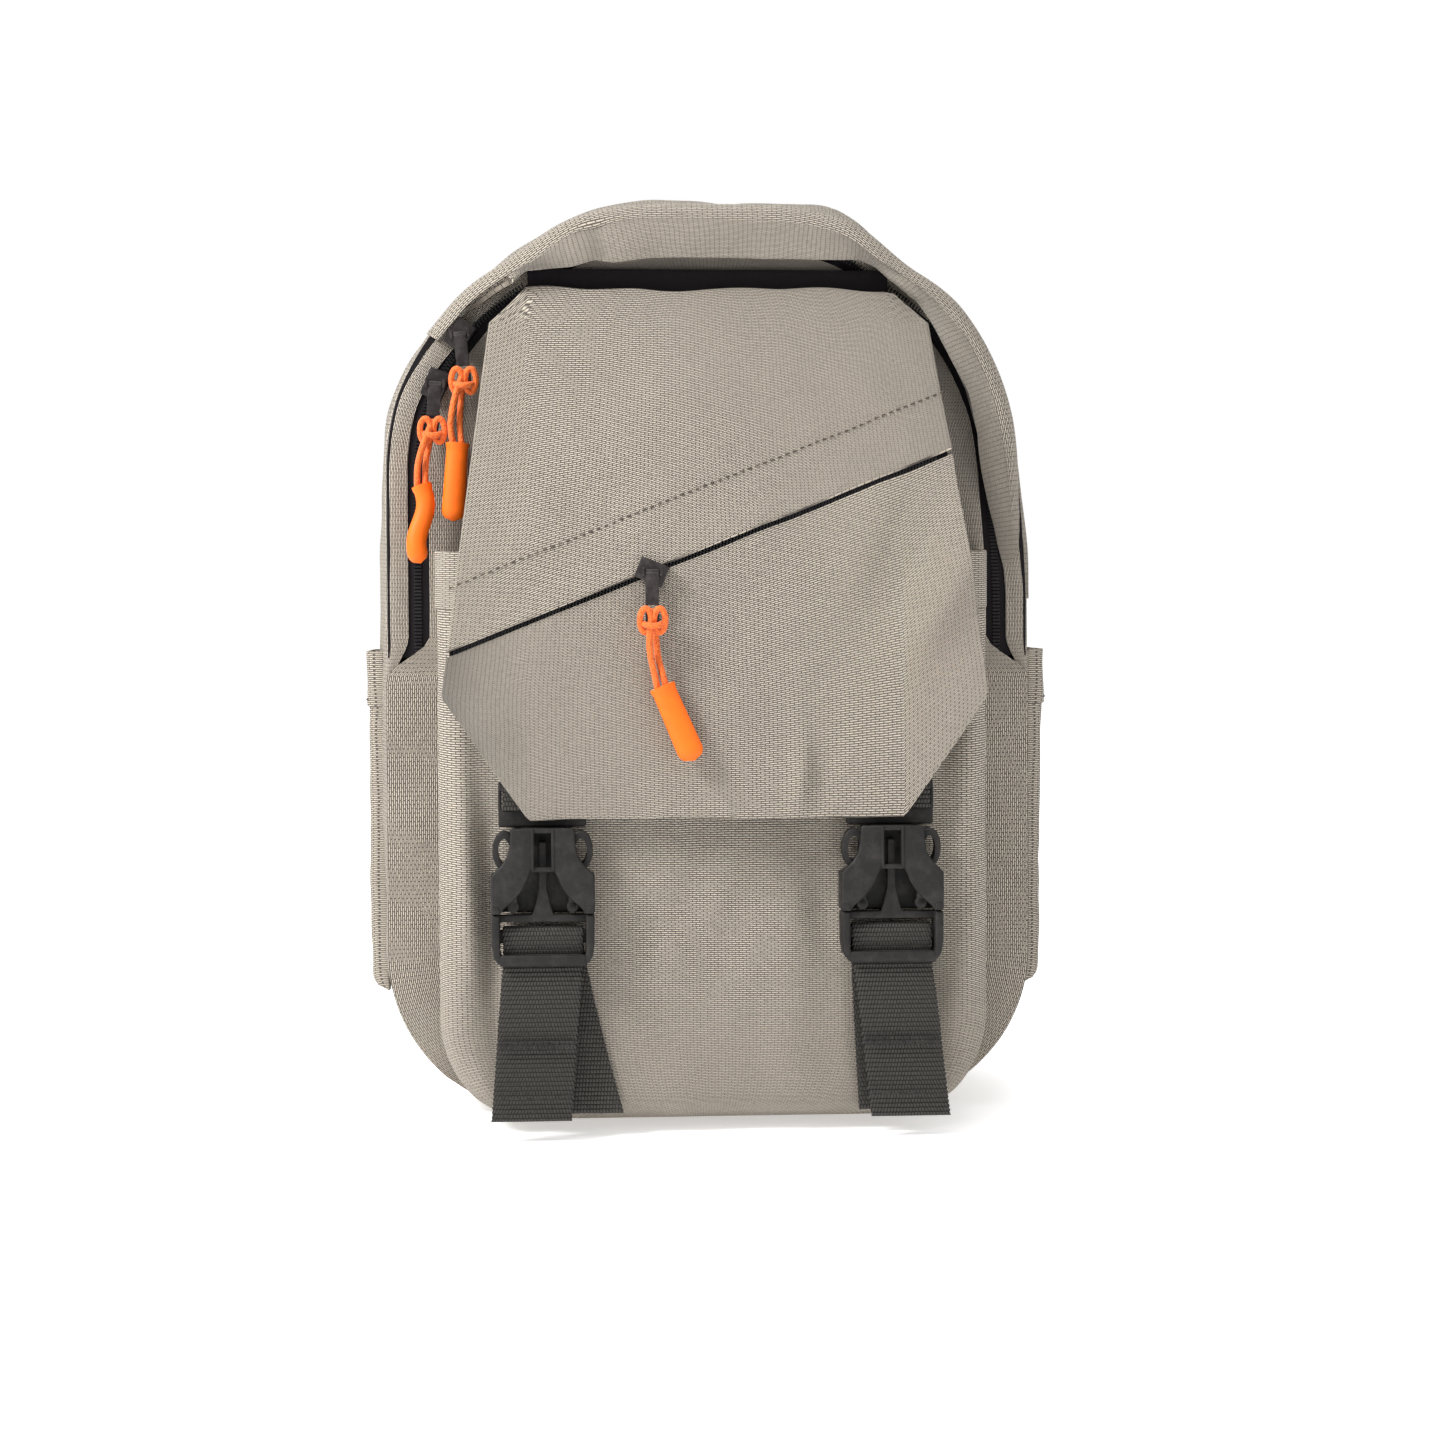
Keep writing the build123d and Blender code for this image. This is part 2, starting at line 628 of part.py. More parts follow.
print("flap hinge", [round(v, 2) for v in local_to_front((0, -flap_hinge_out, flap_hinge_up))])
print("hood fold", fold_y, fold_z)
print("handle axis", handle_y, handle_z)
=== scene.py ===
"""Looks for the compact front-flap daypack: cloth, webbing, buckles, zips and pulls."""

from math import asin, atan2, cos, exp, hypot, pi, radians, sin, sqrt, tan

import bpy
from mathutils import Matrix, Vector, noise


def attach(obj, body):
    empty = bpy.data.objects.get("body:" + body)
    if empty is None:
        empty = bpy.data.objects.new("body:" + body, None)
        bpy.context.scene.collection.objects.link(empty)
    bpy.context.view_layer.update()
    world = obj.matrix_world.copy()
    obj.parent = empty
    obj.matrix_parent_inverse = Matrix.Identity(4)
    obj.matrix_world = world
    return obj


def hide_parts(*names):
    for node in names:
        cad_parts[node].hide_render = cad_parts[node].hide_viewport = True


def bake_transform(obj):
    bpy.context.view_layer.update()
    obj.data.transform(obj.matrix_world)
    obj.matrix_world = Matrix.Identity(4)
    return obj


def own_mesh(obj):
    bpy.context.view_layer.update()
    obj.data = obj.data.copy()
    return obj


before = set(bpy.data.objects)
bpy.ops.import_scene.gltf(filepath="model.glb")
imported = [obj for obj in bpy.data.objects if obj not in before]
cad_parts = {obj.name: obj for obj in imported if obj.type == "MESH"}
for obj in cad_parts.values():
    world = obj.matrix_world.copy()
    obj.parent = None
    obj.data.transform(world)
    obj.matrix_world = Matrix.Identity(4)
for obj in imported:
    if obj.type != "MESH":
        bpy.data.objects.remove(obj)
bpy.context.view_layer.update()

# ------------------------------------------------------------------ camera, light and floor
camera_target = Vector((0.0058, -0.020, 0.1493))
camera_turn, camera_rise, camera_distance = radians(-3.8), radians(5.2), 1.03


def from_side(turn, rise, distance):
    """A place at a distance from the bag: turned round it, and raised above the level."""
    return camera_target + distance * Vector(
        (sin(turn) * cos(rise), -cos(turn) * cos(rise), sin(rise))
    )


bpy.ops.object.camera_add(
    location=from_side(camera_turn, camera_rise, camera_distance),
    rotation=(pi / 2 - camera_rise, 0, camera_turn),
)
camera = bpy.context.object
camera.data.lens = 65.2
camera.data.sensor_width = 36
bpy.context.scene.camera = camera


def soft_light(name, turn, rise, distance, size, power):
    place = from_side(radians(turn), radians(rise), distance)
    bpy.ops.object.light_add(
        type="AREA", location=place, rotation=(pi / 2 - radians(rise), 0, radians(turn))
    )
    lamp = bpy.context.object
    lamp.name = name
    lamp.data.size = size
    lamp.data.energy = power


soft_light("key_light", -64, 40, 1.4, 0.4, 22)
soft_light("fill_light", 52, 20, 1.8, 1.4, 3)
soft_light("top_light", 0, 86, 1.4, 1.0, 8)
soft_light("back_light", 165, 45, 1.8, 1.2, 10)
bpy.context.scene.view_settings.view_transform = "Standard"

world = bpy.data.worlds.new("pale_room")
world.use_nodes = True
world.node_tree.nodes["Background"].inputs["Color"].default_value = (1.0, 1.0, 1.0, 1)
world.node_tree.nodes["Background"].inputs["Strength"].default_value = 0.62
seen_room = world.node_tree.nodes.new("ShaderNodeBackground")
seen_room.inputs["Strength"].default_value = 1.0
seen_room.inputs["Color"].default_value = (1.0, 1.0, 1.0, 1)
rays = world.node_tree.nodes.new("ShaderNodeLightPath")
room_share = world.node_tree.nodes.new("ShaderNodeMixShader")
world.node_tree.links.new(rays.outputs["Is Camera Ray"], room_share.inputs[0])
world.node_tree.links.new(world.node_tree.nodes["Background"].outputs[0], room_share.inputs[1])
world.node_tree.links.new(seen_room.outputs[0], room_share.inputs[2])
world.node_tree.links.new(room_share.outputs[0], world.node_tree.nodes["World Output"].inputs["Surface"])
bpy.context.scene.world = world

# ------------------------------------------------------------------ sizes, in millimetres
MM = 0.001
lean = radians(4.0)
front_foot = -41.0  # where the leaning front plane meets the floor
back_seam = 41.0
half_width = 125.0
height = 352.0
arch_start = 246.0
crown_half = 20.0
corner = 62.0
zip_low = 176.0  # where the main zip ends, on each side
hood_split = 300.0
pocket_half = 104.0
pocket_top = 217.0
pocket_corner = 42.0
panel_out = 4.2  # front face of the main compartment
pocket_out = 38.0  # front face of the pocket
flap_hinge = (318.0, 9.0)  # up, out
flap_bend = (221.0, 42.0)
flap_foot = (116.0, 46.5)
slit_low, slit_high = (-101.0, 177.0), (80.0, 249.0)
slit_slope = (slit_high[1] - slit_low[1]) / (slit_high[0] - slit_low[0])
buckle_across = 65.0
webbing_half = 15.0
web_thick = 1.5
out_axis = Vector((0, -cos(lean), sin(lean)))  # straight out of the leaning front


def local(x, away, up):
    """A point by its place across, out from the leaning front plane and up along it."""
    return Vector(
        (
            x * MM,
            (front_foot - away * cos(lean) + up * sin(lean)) * MM,
            (away * sin(lean) + up * cos(lean)) * MM,
        )
    )


def at_height(x, away, z):
    """A point out from the leaning front plane, at a true height above the floor."""
    return Vector((x * MM, (front_foot + z * tan(lean) - away / cos(lean)) * MM, z * MM))


# ------------------------------------------------------------------ small modelling helpers
def pick_only(piece):
    bpy.ops.object.select_all(action="DESELECT")
    piece.select_set(True)
    bpy.context.view_layer.objects.active = piece


def named(name):
    piece = bpy.context.object
    piece.name = name
    piece.data.name = name
    return piece


def finish_modifiers(piece):
    pick_only(piece)
    for modifier in list(piece.modifiers):
        bpy.ops.object.modifier_apply(modifier=modifier.name)


def smooth(piece, angle=40):
    pick_only(piece)
    bpy.ops.object.shade_smooth_by_angle(angle=radians(angle))


def close_up(piece, gap=1e-5):
    """Merge corners that meet, and turn every face outwards."""
    pick_only(piece)
    bpy.ops.object.mode_set(mode="EDIT")
    bpy.ops.mesh.select_all(action="SELECT")
    bpy.ops.mesh.remove_doubles(threshold=gap)
    bpy.ops.mesh.normals_make_consistent(inside=False)
    bpy.ops.object.mode_set(mode="OBJECT")


def bevel(piece, width, segments=2, angle=35):
    rounded = piece.modifiers.new("edges", "BEVEL")
    rounded.width = width * MM
    rounded.segments = segments
    rounded.limit_method = "ANGLE"
    rounded.angle_limit = radians(angle)
    finish_modifiers(piece)


def wobble(x, y, size, seed=0.0):
    """A smooth wander between -1 and 1, the same at every run."""
    return noise.noise(Vector((x / size + seed, y / size - 2 * seed, seed)))


def fold(x, z, start, end, width, lift):
    """How far a soft fold from start to end lifts the cloth at a point."""
    dx, dz = end[0] - start[0], end[1] - start[1]
    share = ((x - start[0]) * dx + (z - start[1]) * dz) / (dx * dx + dz * dz)
    near = min(1.0, max(0.0, share))
    gap = hypot(x - start[0] - near * dx, z - start[1] - near * dz)
    return lift * (0.3 + 0.7 * sin(pi * near)) * exp(-((gap / width) ** 2))


def between(a, b, share):
    return a + (b - a) * share


def ease(share):
    share = min(1.0, max(0.0, share))
    return share * share * (3 - 2 * share)


def lookup(pairs, key):
    """Read a value between the pairs (key, value), which rise by key."""
    if key <= pairs[0][0]:
        return pairs[0][1]
    for (low, first), (high, second) in zip(pairs, pairs[1:]):
        if key <= high:
            return between(first, second, (key - low) / (high - low))
    return pairs[-1][1]


def cloth(name, across, up, shape, thick=0.0, inwards=True, size=(0.1, 0.1), rim=0.0, wrapped=False):
    """A sheet of cloth laid out by shape(u, v), with a wall in mm and a pattern map in metres."""
    bpy.ops.object.select_all(action="DESELECT")
    bpy.ops.mesh.primitive_grid_add(x_subdivisions=across, y_subdivisions=up, size=2)
    piece = named(name)
    for loop in piece.data.uv_layers[0].data:
        loop.uv = (loop.uv[0] * size[0], loop.uv[1] * size[1])
    for vertex in piece.data.vertices:
        vertex.co = shape((vertex.co.x + 1) / 2, (vertex.co.y + 1) / 2)
    if wrapped:
        close_up(piece)
    if thick:
        wall = piece.modifiers.new("thickness", "SOLIDIFY")
        wall.thickness = thick * MM
        wall.offset = -1.0 if inwards else 1.0
        finish_modifiers(piece)
        if rim:
            bevel(piece, rim, 2, 55)
    smooth(piece, 50)
    return piece


def paint(piece, finish, body, *nodes):
    """Give a piece its finish and its body, and let it stand for its CAD nodes."""
    piece.data.materials.clear()
    piece.data.materials.append(finish)
    if body:
        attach(piece, body)
    if nodes:
        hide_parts(*nodes)
    return piece


def tube(name, points, sizes, sides=10, broad=None):
    """A closed tube through the points, with (half width, half depth) in mm at each."""
    spots = [Vector(point) for point in points]
    spots = [spots[0]] + spots + [spots[-1]]
    sizes = [(0.01, 0.01)] + list(sizes) + [(0.01, 0.01)]
    rows = []
    side = None
    for n, spot in enumerate(spots):
        before, after = spots[max(0, n - 1)], spots[min(len(spots) - 1, n + 1)]
        along = (after - before).normalized()
        if side is None:
            side = (broad or Vector((1, 0.01, 0.02))).copy()
        side = (side - along * side.dot(along)).normalized()
        rows.append((spot, side, along.cross(side)))

    def skin(u, v):
        spot, wide, deep = rows[round(v * (len(rows) - 1))]
        half, thin = sizes[round(v * (len(rows) - 1))]
        turn = 2 * pi * u
        return spot + wide * (half * MM * cos(turn)) + deep * (thin * MM * sin(turn))

    piece = cloth(name, sides, len(rows) - 1, skin, size=(0.02, 0.05), wrapped=True)
    return piece


def copies(name, unit, places):
    """Many copies of one small piece, kept as one mesh."""
    corners = [vertex.co.copy() for vertex in unit.data.vertices]
    faces = [list(face.vertices) for face in unit.data.polygons]
    points, sides = [], []
    for place in places:
        first = len(points)
        points += [place @ spot for spot in corners]
        sides += [[first + n for n in face] for face in faces]
    mesh = bpy.data.meshes.new(name)
    mesh.from_pydata(points, [], sides)
    piece = bpy.data.objects.new(name, mesh)
    bpy.context.scene.collection.objects.link(piece)
    bpy.data.objects.remove(unit)
    smooth(piece, 60)
    return piece


def bead(length, width, tall):
    """A small pillow, for a stitch or a zip tooth: long in X."""
    bpy.ops.object.select_all(action="DESELECT")
    bpy.ops.mesh.primitive_cylinder_add(
        vertices=6, radius=0.5, depth=0.7, end_fill_type="TRIFAN", rotation=(0, pi / 2, 0)
    )
    unit = named("bead")
    bpy.ops.object.transform_apply(location=True, rotation=True, scale=True)
    for vertex in unit.data.vertices:
        tip = 0.15 if hypot(vertex.co.y, vertex.co.z) < 0.1 else 0.0
        x = vertex.co.x + (tip if vertex.co.x > 0 else -tip)
        vertex.co = Vector((x * length * MM, vertex.co.y * width * MM, vertex.co.z * tall * MM))
    return unit


def along_line(points, pitch, facing, quarter_turn=False):
    """Places at every pitch (mm) along a line: X along it, Z to where facing(point) says."""
    places, carried, pitch = [], 0.0, pitch * MM
    for start, end in zip(points, points[1:]):
        length = (end - start).length
        if length < 1e-7:
            continue
        along = (end - start) / length
        while carried < length:
            spot = start + along * carried
            side = facing(spot).cross(along).normalized()
            top = along.cross(side)
            axes = (side, -along, top) if quarter_turn else (along, side, top)
            places.append(Matrix.Translation(spot) @ Matrix(axes).transposed().to_4x4())
            carried += pitch
        carried -= length
    return places


def stitches(name, points, facing, body, pitch=3.2, length=2.1, finish=None):
    """A row of thread stitches along a line."""
    row = copies(name, bead(length, 0.6, 0.5), along_line(points, pitch, facing))
    return paint(row, finish or thread, body)


def zip_teeth(name, points, facing, body, width=3.0):
    """The coil of a zip: one small tooth for every turn of the coil."""
    return paint(copies(name, bead(width, 0.95, 1.5), along_line(points, 1.35, facing, True)), coil_nylon,
        body)


def plate(name, outline, low, high, rounding=0.5, segments=3):
    """A moulding drawn across and up, between two distances out from the leaning front."""
    bpy.ops.object.select_all(action="DESELECT")
    bpy.ops.mesh.primitive_circle_add(vertices=len(outline), radius=1, fill_type="NGON")
    piece = named(name)
    for vertex, (x, up) in zip(piece.data.vertices, outline):
        vertex.co = local(x, low, up)
    bpy.ops.object.mode_set(mode="EDIT")
    bpy.ops.mesh.select_all(action="SELECT")
    bpy.ops.mesh.extrude_region_move(
        TRANSFORM_OT_translate={"value": out_axis * ((high - low) * MM)}
    )
    bpy.ops.object.mode_set(mode="OBJECT")
    close_up(piece)
    if rounding:
        bevel(piece, rounding, segments)
    return piece


def joined(name, pieces):
    pick_only(pieces[0])
    for other in pieces[1:]:
        other.select_set(True)
    bpy.ops.object.join()
    piece = named(name)
    smooth(piece, 35)
    return piece


def arc(cx, cz, radius, start, turn, steps=8, tall=None):
    angles = [radians(start + turn * n / steps) for n in range(steps + 1)]
    return [(cx + radius * cos(a), cz + (tall or radius) * sin(a)) for a in angles]


def dressed(node, finish, body, name=None, rounding=0.4, segments=2):
    """A CAD node's own shape, with its edges rounded off."""
    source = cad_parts[node]
    piece = source.copy()
    piece.data = source.data.copy()
    piece.parent = None
    piece.matrix_world = Matrix.Identity(4)
    bpy.context.scene.collection.objects.link(piece)
    piece.name = name or f"{node}_finished"
    piece.data.name = piece.name
    close_up(piece, 2e-5)
    bpy.ops.object.mode_set(mode="EDIT")
    bpy.ops.mesh.select_all(action="SELECT")
    bpy.ops.mesh.dissolve_limited(angle_limit=radians(2))
    bpy.ops.object.mode_set(mode="OBJECT")
    bevel(piece, rounding, segments)
    smooth(piece, 35)
    return paint(piece, finish, body, node)


# ------------------------------------------------------------------ finishes
def add(tree, kind, settings=None, **inputs):
    """A shader node with its settings and inputs; an input may be another node's output."""
    item = tree.nodes.new(kind)
    for key, value in (settings or {}).items():
        setattr(item, key, value)
    for key, value in inputs.items():
        socket = item.inputs[key.replace("_", " ")]
        if isinstance(value, bpy.types.NodeSocket):
            tree.links.new(value, socket)
        else:
            socket.default_value = value
    return item


def maths(tree, operation, first, second=0.0):
    item = tree.nodes.new("ShaderNodeMath")
    item.operation = operation
    for socket, value in zip(item.inputs, (first, second)):
        if isinstance(value, bpy.types.NodeSocket):
            tree.links.new(value, socket)
        else:
            socket.default_value = value
    return item.outputs[0]


def mixed(tree, share, first, second, way="MIX"):
    item = tree.nodes.new("ShaderNodeMix")
    item.data_type = "RGBA"
    item.blend_type = way
    for socket, value in zip((item.inputs[0], item.inputs[6], item.inputs[7]), (share, first, second)):
        if isinstance(value, bpy.types.NodeSocket):
            tree.links.new(value, socket)
        else:
            socket.default_value = value
    return item.outputs[2]


def effect(name, inputs, outputs):
    """An empty shader group with named sockets."""
    tree = bpy.data.node_groups.new(name, "ShaderNodeTree")
    for label, kind, value in inputs:
        socket = tree.interface.new_socket(name=label, in_out="INPUT", socket_type=kind)
        if value is not None:
            socket.default_value = value
    for label, kind in outputs:
        tree.interface.new_socket(name=label, in_out="OUTPUT", socket_type=kind)
    return tree, tree.nodes.new("NodeGroupInput").outputs, tree.nodes.new("NodeGroupOutput").inputs


COLOUR, NUMBER, PLACE = "NodeSocketColor", "NodeSocketFloat", "NodeSocketVector"

# plain weave: short floats of yarn laid like bricks, with painted shade in the gaps between them
weave, given, gives = effect(
    "plain_weave",
    [("Place", PLACE, None), ("Yarn", COLOUR, (0.5, 0.45, 0.4, 1)), ("Gap", COLOUR, (0.1, 0.1, 0.1, 1)),
     ("Scale", NUMBER, 370.0)],
    [("Colour", COLOUR), ("Height", NUMBER)],
)
drift = add(weave, "ShaderNodeTexNoise", Vector=given["Place"], Scale=45.0, Detail=2.0)
shifted = add(weave, "ShaderNodeVectorMath", {"operation": "SCALE"}, Vector=drift.outputs["Color"],
    Scale=0.0012)
place = add(weave, "ShaderNodeVectorMath", {"operation": "ADD"})
weave.links.new(given["Place"], place.inputs[0])
weave.links.new(shifted.outputs[0], place.inputs[1])
bricks = add(
    weave, "ShaderNodeTexBrick", {"offset": 0.5, "squash": 1.0}, Vector=place.outputs[0],
    Scale=given["Scale"], Mortar_Size=0.10, Mortar_Smooth=1.0, Brick_Width=1.15, Row_Height=0.272,
)
crown = maths(weave, "SUBTRACT", 1.0, bricks.outputs["Fac"])
fibre = add(weave, "ShaderNodeTexNoise", Vector=given["Place"], Scale=2600.0, Detail=3.0)
uneven = add(weave, "ShaderNodeTexNoise", Vector=given["Place"], Scale=520.0, Detail=2.0)
raised = maths(weave, "ADD", crown, maths(weave, "MULTIPLY", fibre.outputs["Fac"], 0.35))
yarn_share = maths(weave, "MULTIPLY", crown,
    maths(weave, "ADD", 0.62, maths(weave, "MULTIPLY", uneven.outputs["Fac"], 0.7)))
# the gaps between yarns take the gap colour, which is painted shade; the yarn crowns take the yarn colour
weave.links.new(mixed(weave, yarn_share, given["Gap"], given["Yarn"]), gives["Colour"])
weave.links.new(raised, gives["Height"])

# slow changes of tone over the whole bag, as handling and light leave in cloth
tone, given, gives = effect(
    "uneven_tone",
    [("Place", PLACE, None), ("Colour", COLOUR, (1, 1, 1, 1)), ("Amount", NUMBER, 0.12)],
    [("Colour", COLOUR), ("Worn", NUMBER)],
)
patches = add(tone, "ShaderNodeTexNoise", Vector=given["Place"], Scale=11.0, Detail=4.0, Roughness=0.6)
strength = maths(tone, "MULTIPLY", patches.outputs["Fac"], maths(tone, "MULTIPLY", given["Amount"], 2.0))
darker = mixed(tone, strength, given["Colour"], (0.12, 0.10, 0.085, 1), "MIX")
specks = add(tone, "ShaderNodeTexNoise", Vector=given["Place"], Scale=140.0, Detail=6.0, Roughness=0.75)
dusty = add(tone, "ShaderNodeMapRange", Value=specks.outputs["Fac"], From_Min=0.60, From_Max=0.78)
lifted = mixed(tone, maths(tone, "MULTIPLY", dusty.outputs[0], given["Amount"]), darker,
    (0.62, 0.58, 0.52, 1))
tone.links.new(lifted, gives["Colour"])
tone.links.new(patches.outputs["Fac"], gives["Worn"])

# webbing: cords of weft side by side, each crossed by fine warp ends; the gaps between threads carry painted
# shade, and the glints noise paints highlights on the thread crowns
ribs, given, gives = effect(
    "webbing_ribs",
    [("Place", PLACE, None), ("Thread", COLOUR, (0.05, 0.05, 0.05, 1)), ("Gap", COLOUR, (0, 0, 0, 1))],
    [("Colour", COLOUR), ("Height", NUMBER)],
)
warp = add(
    ribs, "ShaderNodeTexBrick", {"offset": 0.5}, Vector=given["Place"], Scale=600.0,
    Mortar_Size=0.16, Mortar_Smooth=1.0, Brick_Width=0.72, Row_Height=1.02,
)
thread_crown = maths(ribs, "SUBTRACT", 1.0, warp.outputs["Fac"])
glints = add(ribs, "ShaderNodeTexNoise", Vector=given["Place"], Scale=900.0, Detail=2.0)
# painted highlight: the glints noise brightens the thread crowns
lit = maths(ribs, "MULTIPLY", thread_crown, maths(ribs, "ADD", 0.35, glints.outputs["Fac"]))
ribs.links.new(mixed(ribs, lit, given["Gap"], given["Thread"]), gives["Colour"])
ribs.links.new(maths(ribs, "ADD", thread_crown, maths(ribs, "MULTIPLY", glints.outputs["Fac"], 0.4)),
    gives["Height"])

# moulded surface: a fine spark-eroded grain with faint rubbed patches
grain, given, gives = effect(
    "moulded_grain",
    [("Place", PLACE, None), ("Colour", COLOUR, (0.02, 0.02, 0.02, 1)),
    ("Rubbed", COLOUR, (0.1, 0.1, 0.1, 1)),
     ("Size", NUMBER, 3000.0)],
    [("Colour", COLOUR), ("Height", NUMBER), ("Roughness", NUMBER)],
)
pits = add(grain, "ShaderNodeTexVoronoi", Vector=given["Place"], Scale=given["Size"])
rubs = add(grain, "ShaderNodeTexNoise", Vector=given["Place"], Scale=160.0, Detail=5.0, Roughness=0.7)
rubbed = add(grain, "ShaderNodeMapRange", Value=rubs.outputs["Fac"], From_Min=0.45, From_Max=0.8)
grain.links.new(mixed(grain, rubbed.outputs[0], given["Colour"], given["Rubbed"]), gives["Colour"])
grain.links.new(pits.outputs["Distance"], gives["Height"])
grain.links.new(maths(grain, "SUBTRACT", 0.62, maths(grain, "MULTIPLY", rubbed.outputs[0], 0.18)),
    gives["Roughness"])


def material(name):
    made = bpy.data.materials.new(name)
    made.use_nodes = True
    tree = made.node_tree
    return made, tree, tree.nodes["Principled BSDF"], tree.nodes.new("ShaderNodeTexCoord").outputs


def use(tree, group, **inputs):
    item = add(tree, "ShaderNodeGroup", {"node_tree": group})
    for key, value in inputs.items():
        if isinstance(value, bpy.types.NodeSocket):
            tree.links.new(value, item.inputs[key])
        else:
            item.inputs[key].default_value = value
    return item.outputs


def relief(tree, shader, height, depth, strength=1.0):
    bump = add(tree, "ShaderNodeBump", Height=height, Distance=depth * MM, Strength=strength)
    tree.links.new(bump.outputs[0], shader.inputs["Normal"])


def woven(name, yarn, gap, scale=370.0, depth=0.35, amount=0.12, roughness=0.85, sheen=0.15):
    """A cloth finish, its weave laid by the piece's own pattern map."""
    made, tree, shader, coords = material(name)
    # gap is the painted shade colour laid between the yarns
    cloth_weave = use(tree, weave, Place=coords["UV"], Yarn=yarn, Gap=gap, Scale=scale)
    toned = use(tree, tone, Place=coords["Object"], Colour=cloth_weave["Colour"], Amount=amount)
    tree.links.new(toned["Colour"], shader.inputs["Base Color"])
    shader.inputs["Roughness"].default_value = roughness
    shader.inputs["Sheen Weight"].default_value = sheen
    shader.inputs["Specular IOR Level"].default_value = 0.2
    relief(tree, shader, cloth_weave["Height"], depth)
    return made


# the second colour of each cloth is the painted shade in the gaps between its yarns
greige = woven("greige_oxford", (0.66, 0.58, 0.478, 1), (0.070, 0.057, 0.045, 1),
    depth=1.0, amount=0.08)
lining = woven("dark_lining", (0.022, 0.014, 0.019, 1), (0.004, 0.003, 0.004, 1), 900.0,
    0.12, 0.0, 0.6, 0.0)
tape = woven("black_zip_tape", (0.018, 0.014, 0.017, 1), (0.003, 0.002, 0.003, 1), 700.0,
    0.15, 0.0, 0.8, 0.0)
pad_mesh = woven("black_spacer_mesh", (0.040, 0.040, 0.043, 1), (0.002, 0.002, 0.002, 1),
    260.0, 0.8, 0.0, 0.9, 0.0)


def webbing_finish():
    made, tree, shader, coords = material("black_webbing")
    # the gap colour is painted shade between the threads
    rib = use(tree, ribs, Place=coords["UV"], Thread=(0.060, 0.055, 0.049, 1), Gap=(0.003, 0.0028, 0.0025, 1))
    tree.links.new(rib["Colour"], shader.inputs["Base Color"])
    shader.inputs["Roughness"].default_value = 0.6
    shader.inputs["Specular IOR Level"].default_value = 0.25
    relief(tree, shader, rib["Height"], 0.25)
    return made


def moulded(name, colour, rubbed, size=3000.0, depth=0.03, metal=0.0, roughness=None):
    made, tree, shader, coords = material(name)
    surface = use(tree, grain, Place=coords["Object"], Colour=colour, Rubbed=rubbed, Size=size)
    tree.links.new(surface["Colour"], shader.inputs["Base Color"])
    if roughness is None:
        tree.links.new(surface["Roughness"], shader.inputs["Roughness"])
    else:
        shader.inputs["Roughness"].default_value = roughness
    shader.inputs["Metallic"].default_value = metal
    shader.inputs["Specular IOR Level"].default_value = 0.3
    relief(tree, shader, surface["Height"], depth)
    return made


webbing = webbing_finish()
acetal = moulded("matt_black_acetal", (0.010, 0.009, 0.0085, 1),
    (0.030, 0.026, 0.023, 1), 2200.0, 0.05)
coil_nylon = moulded("black_coil_nylon", (0.016, 0.015, 0.016, 1), (0.03, 0.03, 0.03, 1),
    2500.0, 0.01, 0.0, 0.35)
slider_paint = moulded("black_painted_zinc", (0.035, 0.030, 0.030, 1),
    (0.10, 0.09, 0.085, 1), 1800.0, 0.01, 0.6, 0.32)
orange_rubber = moulded("orange_rubber", (0.95, 0.155, 0.006, 1), (0.80, 0.13, 0.008, 1),
    2600.0, 0.015, 0.0, 0.5)
thread = moulded("dark_thread", (0.10, 0.082, 0.066, 1), (0.05, 0.04, 0.032, 1), 4000.0,
    0.02, 0.0, 0.8)
black_thread = moulded("black_thread", (0.02, 0.018, 0.017, 1), (0.05, 0.045, 0.04, 1), 4000.0,
    0.02, 0.0, 0.7)


def cord_finish():
    """A braided sheath, whose two sets of strands wind opposite ways, drawn here as a fine Voronoi pattern.
    """
    made, tree, shader, coords = material("orange_braid")
    strands = add(tree, "ShaderNodeTexVoronoi", Vector=coords["Object"], Scale=1500.0)
    # painted shade: the cell edges, low between the raised strands, turn a darker orange
    braid_painted_shade = mixed(tree, strands.outputs["Distance"], (1.0, 0.20, 0.01, 1), (0.55, 0.07, 0.002, 1))
    tree.links.new(braid_painted_shade, shader.inputs["Base Color"])
    shader.inputs["Roughness"].default_value = 0.6
    shader.inputs["Sheen Weight"].default_value = 0.2
    relief(tree, shader, maths(tree, "SUBTRACT", 1.0, strands.outputs["Distance"]), 0.35)
    return made


orange_braid = cord_finish()


def floor_finish():
    made = bpy.data.materials.new("pale_floor")
    made.use_nodes = True
    shader = made.node_tree.nodes["Principled BSDF"]
    shader.inputs["Base Color"].default_value = (0.94, 0.94, 0.94, 1)
    shader.inputs["Roughness"].default_value = 0.9
    shader.inputs["Emission Color"].default_value = (1.0, 1.0, 1.0, 1)
    shader.inputs["Emission Strength"].default_value = 0.42
    return made


bpy.ops.object.select_all(action="DESELECT")
bpy.ops.mesh.primitive_plane_add(size=12, location=(0, 0, -0.0006))
floor = named("floor")
floor.data.materials.append(floor_finish())


# ------------------------------------------------------------------ main compartment
foot_half = half_width - corner
corner_run = pi / 2 * corner
side_run = arch_start - corner
arch_run = pi / 2 * (half_width - crown_half)
outline_run = 2 * (foot_half + corner_run + side_run + arch_run + crown_half)


